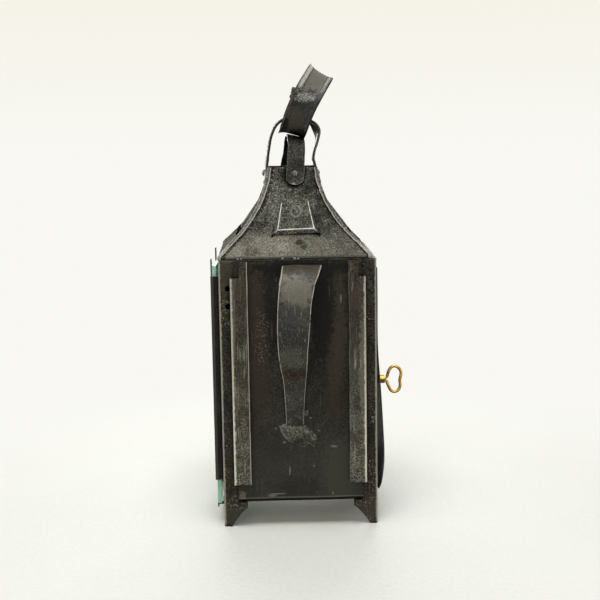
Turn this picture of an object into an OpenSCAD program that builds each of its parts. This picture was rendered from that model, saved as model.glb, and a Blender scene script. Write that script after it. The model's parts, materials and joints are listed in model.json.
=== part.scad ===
// Square sheet-metal candle lantern with a concave hipped roof, a carrying ring,
// three lift-out slides and a hinged side door with a brass key.
// Millimetres. Origin on the floor under the middle of the body, +Z up,
// the pull-strap side faces -Y and the door side faces +X.

/* [Body] */
// Width of the square body over the corner posts
body_w = 110; // [92:1:140]
// Height of the corner posts, floor to eave
body_h = 191; // [165:1:240]
// Width of each leg of an L-shaped corner post
leg_w = 17; // [13:0.5:22]
// Thickness of the tinplate
sheet = 0.9; // [0.6:0.1:1.2]
// Height of the underside of the floor pan
floor_z = 19; // [16:0.5:26]
// Height of the upturned rim of the floor pan
pan_rim = 6; // [3:0.5:12]
// Width of a foot where it meets the floor
foot_w = 5; // [4:0.5:8]
// Height of the curved cut-away beside each foot
foot_rise = 13.5; // [10:0.5:15]
// Width of the ledge that carries the roof
ledge_w = 7; // [5:0.5:10]
// Depth of the flange that holds the posts together at the eave
eave_flange = 8; // [5:0.5:12]
// Diameter of the larger air holes in the posts
vent_d = 4.2; // [2:0.1:6]
// Diameter of the small air hole in the posts
small_vent_d = 2.8; // [1.5:0.1:4]
// Vertical distance between air holes
vent_pitch = 12.4; // [9:0.1:16]

/* [Roof] */
// How far the roof edge is set in from the posts
roof_inset = 1.5; // [1:0.1:4]
// Height of the roof, eave to chimney rim
roof_h = 63; // [50:1:85]
// Width of the square chimney opening
chimney_w = 35; // [30:1:42]
// Height of the upright hem along the lower edge of the roof
roof_hem = 2.3; // [1:0.1:4]
// Pitch of the straight lower part of the roof, degrees
roof_pitch = 45; // [38:1:50]
// Length of the straight lower part of the roof
roof_flat = 18; // [10:1:24]

/* [Vent hoods] */
// Width of a hood at its top edge
hood_top_w = 20.6; // [14:0.2:26]
// Width of a hood at its open mouth
hood_low_w = 28.4; // [20:0.2:36]
// Height of the top edge of a hood above the eave
hood_top = 37; // [30:0.5:44]
// Height of the lip of a hood above the eave
hood_lip = 20; // [17:0.5:24]
// How far the lip stands off the roof
hood_out = 2.2; // [1.4:0.2:6]

/* [Roof straps] */
// Width of a roof strap
strap_w = 12.6; // [9:0.2:16]
// Thickness of a roof strap
strap_t = 1.8; // [1.2:0.1:2.4]
// Rise of the upper strap above the chimney rim
high_rise = 36; // [32:0.5:46]
// Rise of the lower strap above the chimney rim
low_rise = 19.1; // [16:0.1:20]
// Sideways tilt of the crown of the lower strap, degrees
low_tilt = 20; // [0:1:20]
// Length of strap that lies on the roof
strap_foot = 13.5; // [9:0.5:18]
// Diameter of a strap rivet head
rivet_d = 4.6; // [3:0.2:6]

/* [Carrying ring] */
// Outside diameter of the ring
ring_d = 52.3; // [44:0.1:64]
// Width of the ring band over its rolled edges
ring_w = 19.6; // [15:0.1:21]
// Diameter of the rolled edges
bead_d = 3; // [2.2:0.1:3.4]
// Thickness of the band between the rolled edges
band_t = 1.3; // [0.9:0.1:1.8]
// Lean of the ring when it lies at rest, degrees
ring_lean = 26.5; // [20:0.5:27]

/* [Slides] */
// Play between the side of a slide and the back of its rail
slide_play = 1.6; // [0.6:0.1:2.5]
// Thickness of the back panel
panel_t = 0.9; // [0.6:0.1:1.5]
// Thickness of the glass
glass_t = 2.8; // [2:0.1:3.4]
// How far a rail stands off its post
rail_out = 6; // [5:0.1:8]
// Width of the face of a rail
rail_w = 12; // [9:0.2:14]
// Distance from the side of the post to the back of a rail
rail_inset = 8; // [5:0.2:10]
// Distance of the lower end of a rail above the floor pan
rail_lift = 13.5; // [8:0.5:30]
// Distance of the shoulder of a rail below the eave
rail_drop = 11; // [8:0.5:30]
// Width of the tongue above the shoulder
tongue_w = 7.4; // [5:0.2:9]
// Running clearance round a slide
slide_gap = 0.3; // [0.25:0.05:0.5]
// How much lower the green glass sits than the other slides
green_drop = 4.5; // [0:0.5:5]
// Fall of the top edge of the green glass, towards the front
green_fall = 5; // [0:0.5:8]

/* [Pull strap] */
// Width of the pull strap at the top
pull_top_w = 25.6; // [20:0.2:32]
// Width of the pull strap at the bottom
pull_low_w = 12.4; // [9:0.2:18]
// Thickness of the pull strap
pull_t = 1.6; // [1.2:0.1:2.2]
// How far the pull strap stands off the panel
pull_out = 26; // [20:0.5:34]
// Fullness of the pull strap's curve: higher keeps it out for longer
pull_belly = 1.6; // [1.2:0.1:2]
// Distance of the top of the pull strap below the eave
pull_drop = 2; // [1:0.5:12]
// Height of the pull strap from end to end
pull_l = 114.5; // [80:0.5:130]

/* [Door] */
// Distance of the lower edge of the door above the floor pan
door_lift = 4; // [2:0.5:8]
// Distance of the upper edge of the door below the eave
door_drop = 7; // [5:0.5:12]
// Distance of the door's side edges from the corners of the body
door_inset = 8; // [7:0.5:10]
// How far the free edge is bowed out near its foot
door_bow = 5; // [0:0.5:7]
// Clearance between the door and the posts
door_gap = 0.5; // [0.4:0.1:1]
// Diameter of the hinge pins
pin_d = 1.6; // [1.2:0.1:2]
// Outside diameter of the hinge knuckles
knuckle_d = 3.3; // [3:0.1:4]
// Height of one hinge
hinge_h = 18; // [14:1:26]
// Distance of the middle of the lower hinge above the floor pan
hinge_lift = 33; // [20:1:50]
// Distance of the middle of the upper hinge below the eave
hinge_drop = 35; // [25:1:60]

/* [Key] */
// Height of the key
key_z = 101; // [80:1:130]
// Distance of the key from the inner edge of the post
key_clear = 5; // [4.5:0.5:9]
// Diameter of the key shank
shank_d = 2.5; // [2:0.1:3]
// Radial running clearance of the shank
shank_gap = 0.05; // [0.03:0.01:0.1]
// Diameter of the brass bush
bush_d = 6.2; // [5:0.1:7.5]
// Length of the bush outside the door
bush_l = 3.8; // [2.5:0.1:5]
// Diameter of the brass wire of the bow
wire_d = 1.9; // [1.5:0.1:2.2]
// Height of the bow, wire centre to wire centre
bow_h = 19; // [15:0.5:21]

/* [Candle] */
// Diameter of the candle
candle_d = 22; // [16:0.5:26]
// Height of the candle
candle_h = 74; // [40:1:90]
// Depth of the candle socket
socket_h = 20; // [14:0.5:28]
// Diameter of the drip pan
drip_d = 56; // [44:1:70]
// Radial clearance of the candle in its socket
candle_gap = 0.35; // [0.3:0.05:0.8]

/* [Hidden] */
half = body_w / 2;
inner = half - sheet;
frame_z = body_h + sheet;
rim_z = frame_z + roof_h;
roof_base = half - roof_inset;
chimney = chimney_w / 2;
hair = 0.05;
strap_seat = 0.15;
cut = 1;
round_n = 48;

// Roof outline: an upright hem, a straight slope, then an arc up to the chimney rim.
hem_z = frame_z + roof_hem;
bend_r = roof_base - roof_flat * cos(roof_pitch);
bend_z = hem_z + roof_flat * sin(roof_pitch);
chord_a = atan2(rim_z - bend_z, bend_r - chimney);
rim_pitch = 2 * chord_a - roof_pitch;
chord_l = norm([rim_z - bend_z, bend_r - chimney]);
roof_arc = chord_l / (2 * sin(chord_a - roof_pitch));
roof_steps = 12;

// Distance of the roof surface from the axis at height z.
function arc_pitch(z) = acos(cos(roof_pitch) - (z - bend_z) / roof_arc);
function roof_at(z) =
    z < hem_z
    ? roof_base
    : z < bend_z
    ? roof_base - (z - hem_z) / tan(roof_pitch)
    : bend_r - roof_arc * (sin(arc_pitch(z)) - sin(roof_pitch));
function roof_pitch_at(z) = z < bend_z ? roof_pitch : arc_pitch(z);

// Slides, rails and their stops.
rail_back = half - rail_inset;
rail_front = rail_back - rail_w;
rail_z0 = floor_z + rail_lift;
rail_z1 = body_h - rail_drop;
slide_w = 2 * (rail_back - sheet - slide_play);
slide_z0 = floor_z - 0.2;
slide_z1 = body_h - 0.3;
glass_z1 = body_h - 4;
stop_w = 4;
stop_x = half - leg_w + 1.2;
stop_drop = 5;
shelf_z = slide_z0 - slide_gap - sheet;
glass_y = half + rail_out - sheet - slide_gap - glass_t;
panel_y = half + slide_gap + hair;

// Pull strap: its middle line and how full its width is, from 0 at the foot to 1 at the top.
pull_z1 = body_h - pull_drop;
pull_z0 = pull_z1 - pull_l;
pull_mid = [
    [0, -3.4], [0.1, -3.1], [0.16, -2.95], [0.23, -2.85], [0.3, -2.9], [0.37, -3.4], [0.44, -3.9], [0.54, -4.1],
    [0.63, -4.15], [0.72, -3.65], [0.78, -3.2], [0.84, -2.3], [0.9, -1.2], [0.94, 0.3], [0.98, 1.35], [1, 2.4]
];
pull_full = [
    [0, 0], [0.1, 0.1], [0.16, 0.17], [0.23, 0.25], [0.3, 0.33], [0.37, 0.48], [0.44, 0.61], [0.54, 0.69],
    [0.63, 0.73], [0.72, 0.75], [0.78, 0.76], [0.84, 0.81], [0.9, 0.85], [0.94, 0.88], [0.98, 0.95], [1, 1]
];

// Carrying ring: it turns about a point in its lower bar. Leaning at rest, the
// rolled edge of the bar lies just off the tilted crown of the lower strap.
ring_drop = 3.8;
ring_seat = 0.3;
ring_r = ring_d / 2;
bead_r = bead_d / 2;
band_r = ring_r - 1.2;
bead_a = ring_w / 2 - bead_r;
bead_x = bead_a * cos(ring_lean) - (ring_drop - bead_r) * sin(ring_lean);
crown_mid = rim_z + low_rise - strap_t / 2;
bead_lift = ring_seat + strap_t / 2 + bead_r - bead_x * sin(low_tilt);
bead_z = crown_mid + bead_lift / cos(low_tilt);
ring_z = bead_z + bead_a * sin(ring_lean) + (ring_drop - bead_r) * cos(ring_lean);

// Door, hinge and key.
door_x = half + door_gap;
door_y1 = half - door_inset;
door_y0 = -door_y1;
door_z0 = floor_z + door_lift;
door_z1 = body_h - door_drop;
door_flat = 9;
hinge_y = door_y1 + knuckle_d / 2 + 0.05;
hinge_x = door_x + sheet + knuckle_d / 2 - 0.15;
hinge_z0 = floor_z + hinge_lift;
hinge_z1 = body_h - hinge_drop;
knuckle_gap = 0.3;
pin_gap = 0.05;
pin_head = 1;
key_y = leg_w + key_clear - half;
door_rows = 24;
bow_peak = 0.17;
bow_reach = 0.75;

// Bow of the door's outer face from the flat sheet, at height z and place y.
function bow_along(s) =
    s > bow_reach
    ? 0
    : s > bow_peak
    ? (1 + cos(180 * (s - bow_peak) / (bow_reach - bow_peak))) / 2
    : 1 - 0.55 * pow((bow_peak - s) / bow_peak, 2);
function bow_across(y) = max(0, (door_y1 - door_flat - y) / (2 * door_y1 - door_flat));
function door_bulge(y, z) =
    door_bow * bow_across(y) * bow_along((z - door_z0) / (door_z1 - door_z0));
key_x = door_x + sheet + door_bulge(key_y - bush_d / 2, key_z - bush_d / 2) + 0.1;
bow_x = key_x + bush_l + 0.4;

// Candle and its holder.
drip_z = floor_z + sheet;
drip_t = 1;
socket_z = drip_z + drip_t;
socket_t = 0.8;
candle_r = candle_d / 2;
socket_r = candle_r + candle_gap;
candle_z = socket_z + socket_t + candle_gap;

back_colour = [0.19, 0.17, 0.15];
post_colour = [0.22, 0.21, 0.19];
roof_colour = [0.34, 0.34, 0.32];
strap_colour = [0.38, 0.38, 0.36];
rail_colour = [0.45, 0.42, 0.38];
green = [0.45, 0.8, 0.62, 0.6];
clear = [0.85, 0.92, 0.92, 0.4];
brass = [0.78, 0.6, 0.22];
solder = [0.6, 0.6, 0.58];
wax = [0.94, 0.91, 0.82];

// ---- helpers -------------------------------------------------------------

// Outline of one face of a post, from its corner at x = 0, seen flat.
// The foot is cut away in a shallow arch that flattens towards the leg's inner edge.
module leg_outline() {
    steps = 8;
    arch = [for (i = [0:steps])
        let (u = i / steps)
            [foot_w + (leg_w - foot_w) * u, foot_rise * (1 - pow(1 - u, 1.35))]
    ];
    polygon(concat([[0, 0]], arch, [[leg_w, body_h], [0, body_h]]));
}

// One corner post in the -x, -y corner.
module post(small_hole) {
    difference() {
        union() {
            translate([-half, -half + sheet, 0])
                rotate([90, 0, 0])
                    linear_extrude(sheet)
                        leg_outline();
            translate([-half, -half, 0])
                rotate([90, 0, 90])
                    linear_extrude(sheet)
                        leg_outline();
        }
        for (i = [0, 1])
            translate([-half + 5.6, -half - cut, body_h - 17 - i * vent_pitch])
                rotate([-90, 0, 0])
                    cylinder(d = vent_d, h = sheet + 2 * cut, $fn = round_n);
        if (small_hole)
            translate([-half + 10, -half - cut, body_h - 4.6])
                rotate([-90, 0, 0])
                    cylinder(d = small_vent_d, h = sheet + 2 * cut, $fn = round_n);
    }
}

// Roof panel facing -y, mitred at the hips.
module roof_panel() {
    arc = [for (i = [1:roof_steps]) roof_pitch + (rim_pitch - roof_pitch) * i / roof_steps];
    slope = concat(
        [[bend_r, bend_z]],
        [for (a = arc) [
            bend_r - roof_arc * (sin(a) - sin(roof_pitch)),
            bend_z + roof_arc * (cos(roof_pitch) - cos(a))
        ]]
    );
    pitches = concat([roof_pitch], arc);
    last = len(slope) - 1;
    outer = concat([[roof_base, frame_z], [roof_base, hem_z]], slope);
    back = [for (i = [last:-1:0])
        i == last
        ? [slope[last][0] - sheet / sin(rim_pitch), rim_z]
        : slope[i] - sheet * [sin(pitches[i]), cos(pitches[i])]
    ];
    hem_back = hem_z - sheet * tan((90 - roof_pitch) / 2);
    under = concat(back, [[roof_base - sheet, hem_back], [roof_base - sheet, frame_z]]);
    air_z0 = frame_z + hood_lip + 1;
    air_z1 = frame_z + hood_top - 6;
    difference() {
        intersection() {
            translate([-half, 0, 0])
                rotate([90, 0, 90])
                    mirror([1, 0, 0])
                        linear_extrude(body_w)
                            polygon(concat(outer, under));
            linear_extrude(rim_z + cut)
                polygon([[0, 0], [-half, -half], [half, -half]]);
        }
        translate([-hood_top_w / 2 + 2, -half, air_z0])
            cube([hood_top_w - 4, half, air_z1 - air_z0]);
    }
}

// Vent hood on the -y roof panel: a face and two cheeks, open below.
module hood() {
    z_top = frame_z + hood_top;
    z_lip = frame_z + hood_lip;
    z_low = z_lip - 4.4;
    lip_r = roof_at(z_lip) + hood_out;
    steps = 8;
    roof_side = [for (i = [0:steps])
        let (z = z_low + (z_top - z_low) * i / steps)
            [roof_at(z) + hair, z]
    ];
    intersection() {
        difference() {
            translate([-half, 0, 0])
                rotate([90, 0, 90])
                    mirror([1, 0, 0])
                        linear_extrude(body_w)
                            polygon(concat(roof_side, [[lip_r, z_lip]]));
            // The hollow, which leaves the face and the cheeks.
            intersection() {
                translate([-half, 0, 0])
                    rotate([90, 0, 90])
                        mirror([1, 0, 0])
                            linear_extrude(body_w)
                                polygon([
                                    [chimney - 2, z_top + hood_out],
                                    [roof_at(z_top) - 1.7, z_top],
                                    [lip_r - 0.3, z_lip - 0.9],
                                    [lip_r + 1, z_lip - 1.8],
                                    [lip_r + 1, z_low - 3],
                                    [chimney - 2, z_low - 3]
                                ]);
                hood_outline(sheet, half);
            }
        }
        hood_outline(0, half);
    }
}

// Front outline of a hood, pulled in by a margin and run through in y.
module hood_outline(margin, depth) {
    top_z = frame_z + hood_top + hair;
    low_z = frame_z + hood_lip - 5;
    top = hood_top_w / 2 - margin;
    low = hood_low_w / 2 - margin;
    flare = (low - top) * (top_z - low_z) / (hood_top - hood_lip);
    rotate([90, 0, 0])
        linear_extrude(depth)
            polygon([[-top, top_z], [top, top_z], [top + flare, low_z], [-top - flare, low_z]]);
}

// Strip of sheet along a path: centres, side directions, face directions, widths.
module strip(c, s, n, w, t) {
    last = len(c) - 1;
    points = [for (i = [0:last]) each [
        c[i] + s[i] * w[i] / 2 + n[i] * t / 2,
        c[i] + s[i] * w[i] / 2 - n[i] * t / 2,
        c[i] - s[i] * w[i] / 2 - n[i] * t / 2,
        c[i] - s[i] * w[i] / 2 + n[i] * t / 2
    ]];
    sides = [for (i = [0:last - 1]) for (k = [0:3])
        let (a = 4 * i + k, b = 4 * i + (k + 1) % 4)
            each [[a, b, b + 4], [a, b + 4, a + 4]]
    ];
    ends = [[3, 2, 1], [3, 1, 0],
        [4 * last, 4 * last + 1, 4 * last + 2], [4 * last, 4 * last + 2, 4 * last + 3]];
    polyhedron(points = points, faces = concat(ends, sides));
}

function unit(v) = v / norm(v);
function ahead(c, i) = unit(c[min(i + 1, len(c) - 1)] - c[max(i - 1, 0)]);

// Arched roof strap in the xz plane: feet on the roof, a round crown, a rolled-over tilt.
module arch_strap(rise, tilt) {
    off = strap_t / 2 + strap_seat;
    foot_z = rim_z - strap_foot;
    toe_z = foot_z + 0.2 * strap_w;
    foot = [roof_at(foot_z) + off, foot_z];
    toe = [roof_at(toe_z) + off, toe_z];
    shin = [roof_at(rim_z - 5) + off, rim_z - 5];
    rim = [chimney + off + 0.15, rim_z + 0.5];
    top = rim_z + rise - strap_t / 2;
    spring = rim_z + 0.35 * rise;
    span = chimney + off - 0.6;
    steps = 20;
    crown = [for (i = [0:steps])
        let (a = 180 * i / steps)
            [span * cos(a), spring + (top - spring) * sin(a)]
    ];
    left = [foot, toe, shin, rim];
    right = [for (p = [rim, shin, toe, foot]) [-p[0], p[1]]];
    flat = concat(left, crown, right);
    c = [for (p = flat) [p[0], 0, p[1]]];
    go = [for (i = [0:len(c) - 1]) ahead(c, i)];
    roll = [for (p = flat) tilt * max(0, (p[1] - spring) / (top - spring))];
    n0 = [for (g = go) [g[2], 0, -g[0]]];
    side = [for (i = [0:len(c) - 1]) [0, cos(roll[i]), 0] + n0[i] * sin(roll[i])];
    face = [for (i = [0:len(c) - 1]) n0[i] * cos(roll[i]) - [0, sin(roll[i]), 0]];
    wide = [for (p = flat)
        strap_w * (p[1] > toe_z + hair ? 1 : p[1] > foot_z + hair ? 0.92 : 0.5)
    ];
    strip(c, side, face, wide, strap_t);
}

// Rivet on the -y side of the roof: a domed head on the strap foot.
module strap_rivet() {
    z = rim_z - strap_foot * 0.42;
    pitch = roof_pitch_at(z);
    seat = roof_at(z) + (strap_t + 2 * strap_seat) / sin(pitch);
    head_r = rivet_d / 2;
    translate([0, -seat, z])
        rotate([pitch, 0, 0])
            rotate_extrude($fn = round_n)
                intersection() {
                    translate([0, -head_r * 0.9])
                        circle(r = head_r * 1.35, $fn = round_n);
                    square([head_r, head_r]);
                }
}

// Rail on the -y face against the left post: web, face and tongue.
module rail() {
    face_y = -half - rail_out;
    translate([-rail_back, face_y, rail_z0])
        cube([sheet, rail_out, rail_z1 - rail_z0]);
    translate([-rail_back, face_y, rail_z0])
        cube([rail_w, sheet, rail_z1 - rail_z0]);
    translate([-rail_front - tongue_w, face_y, rail_z1 - cut])
        cube([tongue_w, sheet, body_h + 0.4 - rail_z1 + cut]);
}

// Pair of stops under a slide on the -y face: a shelf with its leg below or above it.
module slide_stops(shelf, leg) {
    for (s = [-1, 1])
        translate([s * (stop_x + stop_w / 2) - stop_w / 2, 0, 0]) {
            translate([0, -half - rail_out + 1, shelf])
                cube([stop_w, rail_out - 1, sheet]);
            translate([0, -half - sheet, leg])
                cube([stop_w, sheet, stop_drop]);
            translate([0, -half - rail_out + 1, shelf - 2])
                cube([stop_w, sheet, 2 + sheet]);
        }
}

// Knuckles of one hinge. The middle one belongs to the door.
module knuckles(z_mid, on_door) {
    third = hinge_h / 3;
    list = on_door ? [0] : [-1, 1];
    for (k = list)
        translate([hinge_x, hinge_y, z_mid + k * third - third / 2 + knuckle_gap / 2])
            linear_extrude(third - knuckle_gap)
                difference() {
                    union() {
                        circle(d = knuckle_d, $fn = round_n);
                        if (on_door)
                            translate([door_x + sheet - hinge_x, -knuckle_d / 2 - 0.6])
                                square([hinge_x - door_x - sheet, knuckle_d / 2 + 0.6]);
                        else
                            translate([half - hinge_x, 0])
                                square([hinge_x - half, knuckle_d / 2]);
                    }
                    circle(d = pin_d + 2 * pin_gap, $fn = round_n);
                }
}

// ---- body ----------------------------------------------------------------

module post_back_left() {
    color(post_colour) post(false);
}
module post_back_right() {
    color(post_colour) mirror([1, 0, 0]) post(true);
}
module post_front_left() {
    color(post_colour) mirror([0, 1, 0]) post(false);
}
module post_front_right() {
    color(post_colour) mirror([0, 1, 0]) mirror([1, 0, 0]) post(true);
}

module eave_frame() {
    color(post_colour)
        difference() {
            union() {
                translate([-half, -half, body_h])
                    cube([body_w, body_w, sheet]);
                translate([-inner, -inner, body_h - eave_flange])
                    cube([2 * inner, 2 * inner, eave_flange + sheet / 2]);
            }
            translate([-inner + sheet, -inner + sheet, body_h - eave_flange - cut])
                cube([2 * (inner - sheet), 2 * (inner - sheet), eave_flange + cut]);
            translate([-half + ledge_w, -half + ledge_w, body_h - cut])
                cube([body_w - 2 * ledge_w, body_w - 2 * ledge_w, sheet + 2 * cut]);
        }
}

module floor_pan() {
    wall = inner - sheet;
    color(back_colour)
        difference() {
            translate([-inner, -inner, floor_z])
                cube([2 * inner, 2 * inner, pan_rim]);
            translate([-wall, -wall, floor_z + sheet])
                cube([2 * wall, 2 * wall, pan_rim]);
        }
}

// ---- roof ----------------------------------------------------------------

module roof_back() {
    color(roof_colour) roof_panel();
}
module roof_right() {
    color(roof_colour) rotate([0, 0, 90]) roof_panel();
}
module roof_front() {
    color(roof_colour) rotate([0, 0, 180]) roof_panel();
}
module roof_left() {
    color(roof_colour) rotate([0, 0, 270]) roof_panel();
}
module hood_back() {
    color(roof_colour) hood();
}
module hood_right() {
    color(roof_colour) rotate([0, 0, 90]) hood();
}
module hood_front() {
    color(roof_colour) rotate([0, 0, 180]) hood();
}
module hood_left() {
    color(roof_colour) rotate([0, 0, 270]) hood();
}

module strap_high() {
    color(strap_colour) arch_strap(high_rise, 0);
}

module strap_low() {
    color(strap_colour) rotate([0, 0, 90]) arch_strap(low_rise, low_tilt);
}

module strap_rivets() {
    color(strap_colour)
        for (a = [0:90:270])
            rotate([0, 0, a])
                strap_rivet();
}

module carry_ring() {
    color(strap_colour)
        translate([0, 0, ring_z])
            rotate([0, ring_lean, 0])
                translate([0, 0, ring_r - ring_drop])
                    rotate([0, 90, 0])
                        rotate_extrude($fn = 96) {
                            for (s = [-1, 1])
                                translate([ring_r - bead_r, s * (ring_w / 2 - bead_r)])
                                    circle(r = bead_r, $fn = round_n);
                            translate([band_r - band_t, -ring_w / 2 + bead_r])
                                square([band_t, ring_w - bead_d]);
                        }
}

// ---- slides --------------------------------------------------------------

module rail_back_left() {
    color(rail_colour) rail();
}
module rail_back_right() {
    color(rail_colour) mirror([1, 0, 0]) rail();
}
module rail_left_back() {
    color(rail_colour) rotate([0, 0, 270]) mirror([1, 0, 0]) rail();
}
module rail_left_front() {
    color(rail_colour) rotate([0, 0, 270]) rail();
}
module rail_front_left() {
    color(rail_colour) rotate([0, 0, 180]) mirror([1, 0, 0]) rail();
}
module rail_front_right() {
    color(rail_colour) rotate([0, 0, 180]) rail();
}
module stops_back() {
    color(post_colour) slide_stops(shelf_z, shelf_z - stop_drop + sheet);
}
module stops_left() {
    color(post_colour) rotate([0, 0, 270]) slide_stops(shelf_z - green_drop, shelf_z - green_drop);
}
module stops_front() {
    color(post_colour) rotate([0, 0, 180]) slide_stops(shelf_z, shelf_z - stop_drop + sheet);
}

module back_panel() {
    color(back_colour)
        translate([-slide_w / 2, -panel_y - panel_t, slide_z0])
            cube([slide_w, panel_t, slide_z1 - slide_z0]);
}

module pull_strap() {
    foot = pull_t / 2;
    mid = (pull_z1 + pull_z0) / 2;
    long = pull_z1 - pull_z0;
    reach = pull_out - pull_t / 2;
    bend = reach - 7;
    top = pull_z1 - pull_t / 2;
    upper = [[foot, pull_z1 - 15], [foot, pull_z1 - 6], [1.6, top - 2.2], [4, top - 1.2]];
    corner = [for (a = [90:-15:0]) [reach - bend + bend * cos(a), top - bend + bend * sin(a)]];
    fall = [for (i = [1:14])
        let (u = i / 15, z = top - bend - u * (long - bend - 7))
            [foot + (reach - foot) * (cos(180 * pow(u, pull_belly)) + 1) / 2, z]
    ];
    lower = [[foot, pull_z0 + 6], [foot, pull_z0]];
    path = concat(upper, corner, fall, lower);
    c = [for (p = path)
        [lookup((p[1] - pull_z0) / long, pull_mid), -panel_y - panel_t - p[0], p[1]]
    ];
    flat = [for (p = path) [0, -p[0], p[1]]];
    go = [for (i = [0:len(c) - 1]) ahead(flat, i)];
    side = [for (g = go) [1, 0, 0]];
    face = [for (g = go) [0, -g[2], g[1]]];
    wide = [for (p = path)
        pull_low_w + (pull_top_w - pull_low_w) * lookup((p[1] - pull_z0) / long, pull_full)
    ];
    color(strap_colour) strip(c, side, face, wide, pull_t);
}

module strap_solder() {
    y = -panel_y - panel_t;
    top = pull_z0 - 0.1;
    color(solder)
        translate([-3.4, y, top])
            rotate([90, 0, 0])
                linear_extrude(1)
                    polygon([
                        [-10, 0], [10, 0], [15, -2], [13, -7], [15.5, -12],
                        [11, -15.5], [4, -12], [-3, -13], [-8, -9], [-12, -4]
                    ]);
}

// Glass slide on the -y face. Its top edge may fall towards -x.
module pane(drop, fall) {
    x = slide_w / 2;
    translate([0, -glass_y, 0])
        rotate([90, 0, 0])
            linear_extrude(glass_t)
                polygon([
                    [-x, slide_z0 - drop], [x, slide_z0 - drop], [x, glass_z1], [-x, glass_z1 - fall]
                ]);
}

module green_glass() {
    color(green) rotate([0, 0, 270]) pane(green_drop, green_fall);
}

module front_glass() {
    color(clear) rotate([0, 0, 180]) pane(0, 0);
}

// ---- door and key --------------------------------------------------------

module door_panel() {
    rows = [for (i = [0:door_rows]) door_z0 + (door_z1 - door_z0) * i / door_rows];
    columns = [door_y0, door_y1 - door_flat, door_y1];
    function at(y, z, x) = [x + door_bulge(y, z), y, z];
    nc = len(columns);
    half_count = len(rows) * nc;
    outer = [for (z = rows) for (y = columns) at(y, z, door_x + sheet)];
    back = [for (z = rows) for (y = columns) at(y, z, door_x)];
    front_faces = [for (r = [0:len(rows) - 2]) for (k = [0:nc - 2])
        let (a = r * nc + k)
            each [[a, a + nc, a + nc + 1], [a, a + nc + 1, a + 1]]
    ];
    back_faces = [for (f = front_faces) [for (j = [2:-1:0]) f[j] + half_count]];
    top_row = (len(rows) - 1) * nc;
    hems = [
        for (k = [0:nc - 2]) each [
            [k, k + 1, k + 1 + half_count],
            [k, k + 1 + half_count, k + half_count],
            [top_row + k + 1, top_row + k, top_row + k + half_count],
            [top_row + k + 1, top_row + k + half_count, top_row + k + 1 + half_count]
        ],
        for (r = [0:len(rows) - 2])
            let (a = r * nc, b = r * nc + nc - 1)
                each [
                    [a + nc, a, a + half_count],
                    [a + nc, a + half_count, a + nc + half_count],
                    [b, b + nc, b + nc + half_count],
                    [b, b + nc + half_count, b + half_count]
                ]
    ];
    color(post_colour)
        difference() {
            polyhedron(points = concat(outer, back), faces = concat(front_faces, back_faces, hems));
            translate([door_x - cut, key_y, key_z])
                rotate([0, 90, 0])
                    cylinder(d = bush_d - 1.6 + 2 * hair, h = 10, $fn = 24);
        }
}

module door_leaves() {
    leaf_t = 0.8;
    leaf_y = door_y1 - door_flat + 1;
    color(rail_colour)
        for (z = [hinge_z0, hinge_z1]) {
            knuckles(z, true);
            translate([door_x + sheet, leaf_y, z - hinge_h / 2])
                cube([leaf_t, door_y1 - leaf_y, hinge_h]);
            translate([door_x + sheet, door_y1 - 0.5, z - hinge_h / 6 + knuckle_gap / 2])
                cube([leaf_t, 1, hinge_h / 3 - knuckle_gap]);
        }
}

module post_leaves() {
    leaf_t = 0.6;
    color(rail_colour)
        for (z = [hinge_z0, hinge_z1]) {
            knuckles(z, false);
            translate([half, hinge_y + 0.8, z - hinge_h / 2])
                cube([leaf_t, half - hinge_y - 1.2, hinge_h]);
        }
}

module hinge_pins() {
    color(strap_colour)
        for (z = [hinge_z0, hinge_z1])
            translate([hinge_x, hinge_y, z - hinge_h / 2]) {
                cylinder(d = pin_d, h = hinge_h + hair, $fn = round_n);
                translate([0, 0, hinge_h])
                    cylinder(d = pin_d + 1, h = pin_head, $fn = round_n);
            }
}

module key_bush() {
    barrel = bush_d - 1.6;
    color(brass)
        translate([0, key_y, key_z])
            rotate([0, 90, 0])
                difference() {
                    union() {
                        translate([0, 0, key_x])
                            cylinder(d = bush_d, h = bush_l, $fn = round_n);
                        translate([0, 0, door_x - 0.2])
                            cylinder(d = barrel, h = key_x - door_x + 1, $fn = round_n);
                    }
                    translate([0, 0, door_x - cut])
                        cylinder(d = shank_d + 2 * shank_gap, h = 20, $fn = round_n);
                    translate([-0.5, -bush_d, key_x + bush_l - 1.4])
                        cube([1, 2 * bush_d, 2]);
                }
}

// Curve through a list of points, n steps from each to the next.
function smooth(p, n) = [
    for (i = [0:len(p) - 2])
        let (a = p[max(i - 1, 0)], b = p[i], c = p[i + 1], d = p[min(i + 2, len(p) - 1)])
            for (k = [0:n - 1])
                let (u = k / n)
                    b + (c - a) * u / 2
                    + (2 * a - 5 * b + 4 * c - d) * u * u / 2
                    + (3 * b - a - 3 * c + d) * u * u * u / 2,
    p[len(p) - 1]
];

// Open bow of bent wire: a bean shape with its ends side by side at the shank.
module key_bow() {
    tail_z = wire_d / 2 + hair;
    shape = [
        [1.9, 2.3], [2.4, 4.4], [3.2, 6.5], [4.7, 8.4], [6.8, 9.25], [9, 8.7], [11, 6.7], [11.8, 4.3],
        [11.6, 2.1], [11, -0.3], [11, -2.6], [11.2, -4.7], [10.6, -7.2], [9, -9.1], [6.4, -9.7],
        [4.3, -8.35], [2.9, -5.9], [2, -3.6]
    ];
    outline = concat(
        [[0, tail_z], [1.1, tail_z + 0.25]],
        [for (p = shape) p * bow_h / 19],
        [[1.1, -tail_z - 0.45], [0, -tail_z]]
    );
    color(brass)
        translate([bow_x, key_y, key_z])
            wire([for (p = smooth(outline, 3)) [p[0], 0, p[1]]], wire_d / 2);
}

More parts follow.
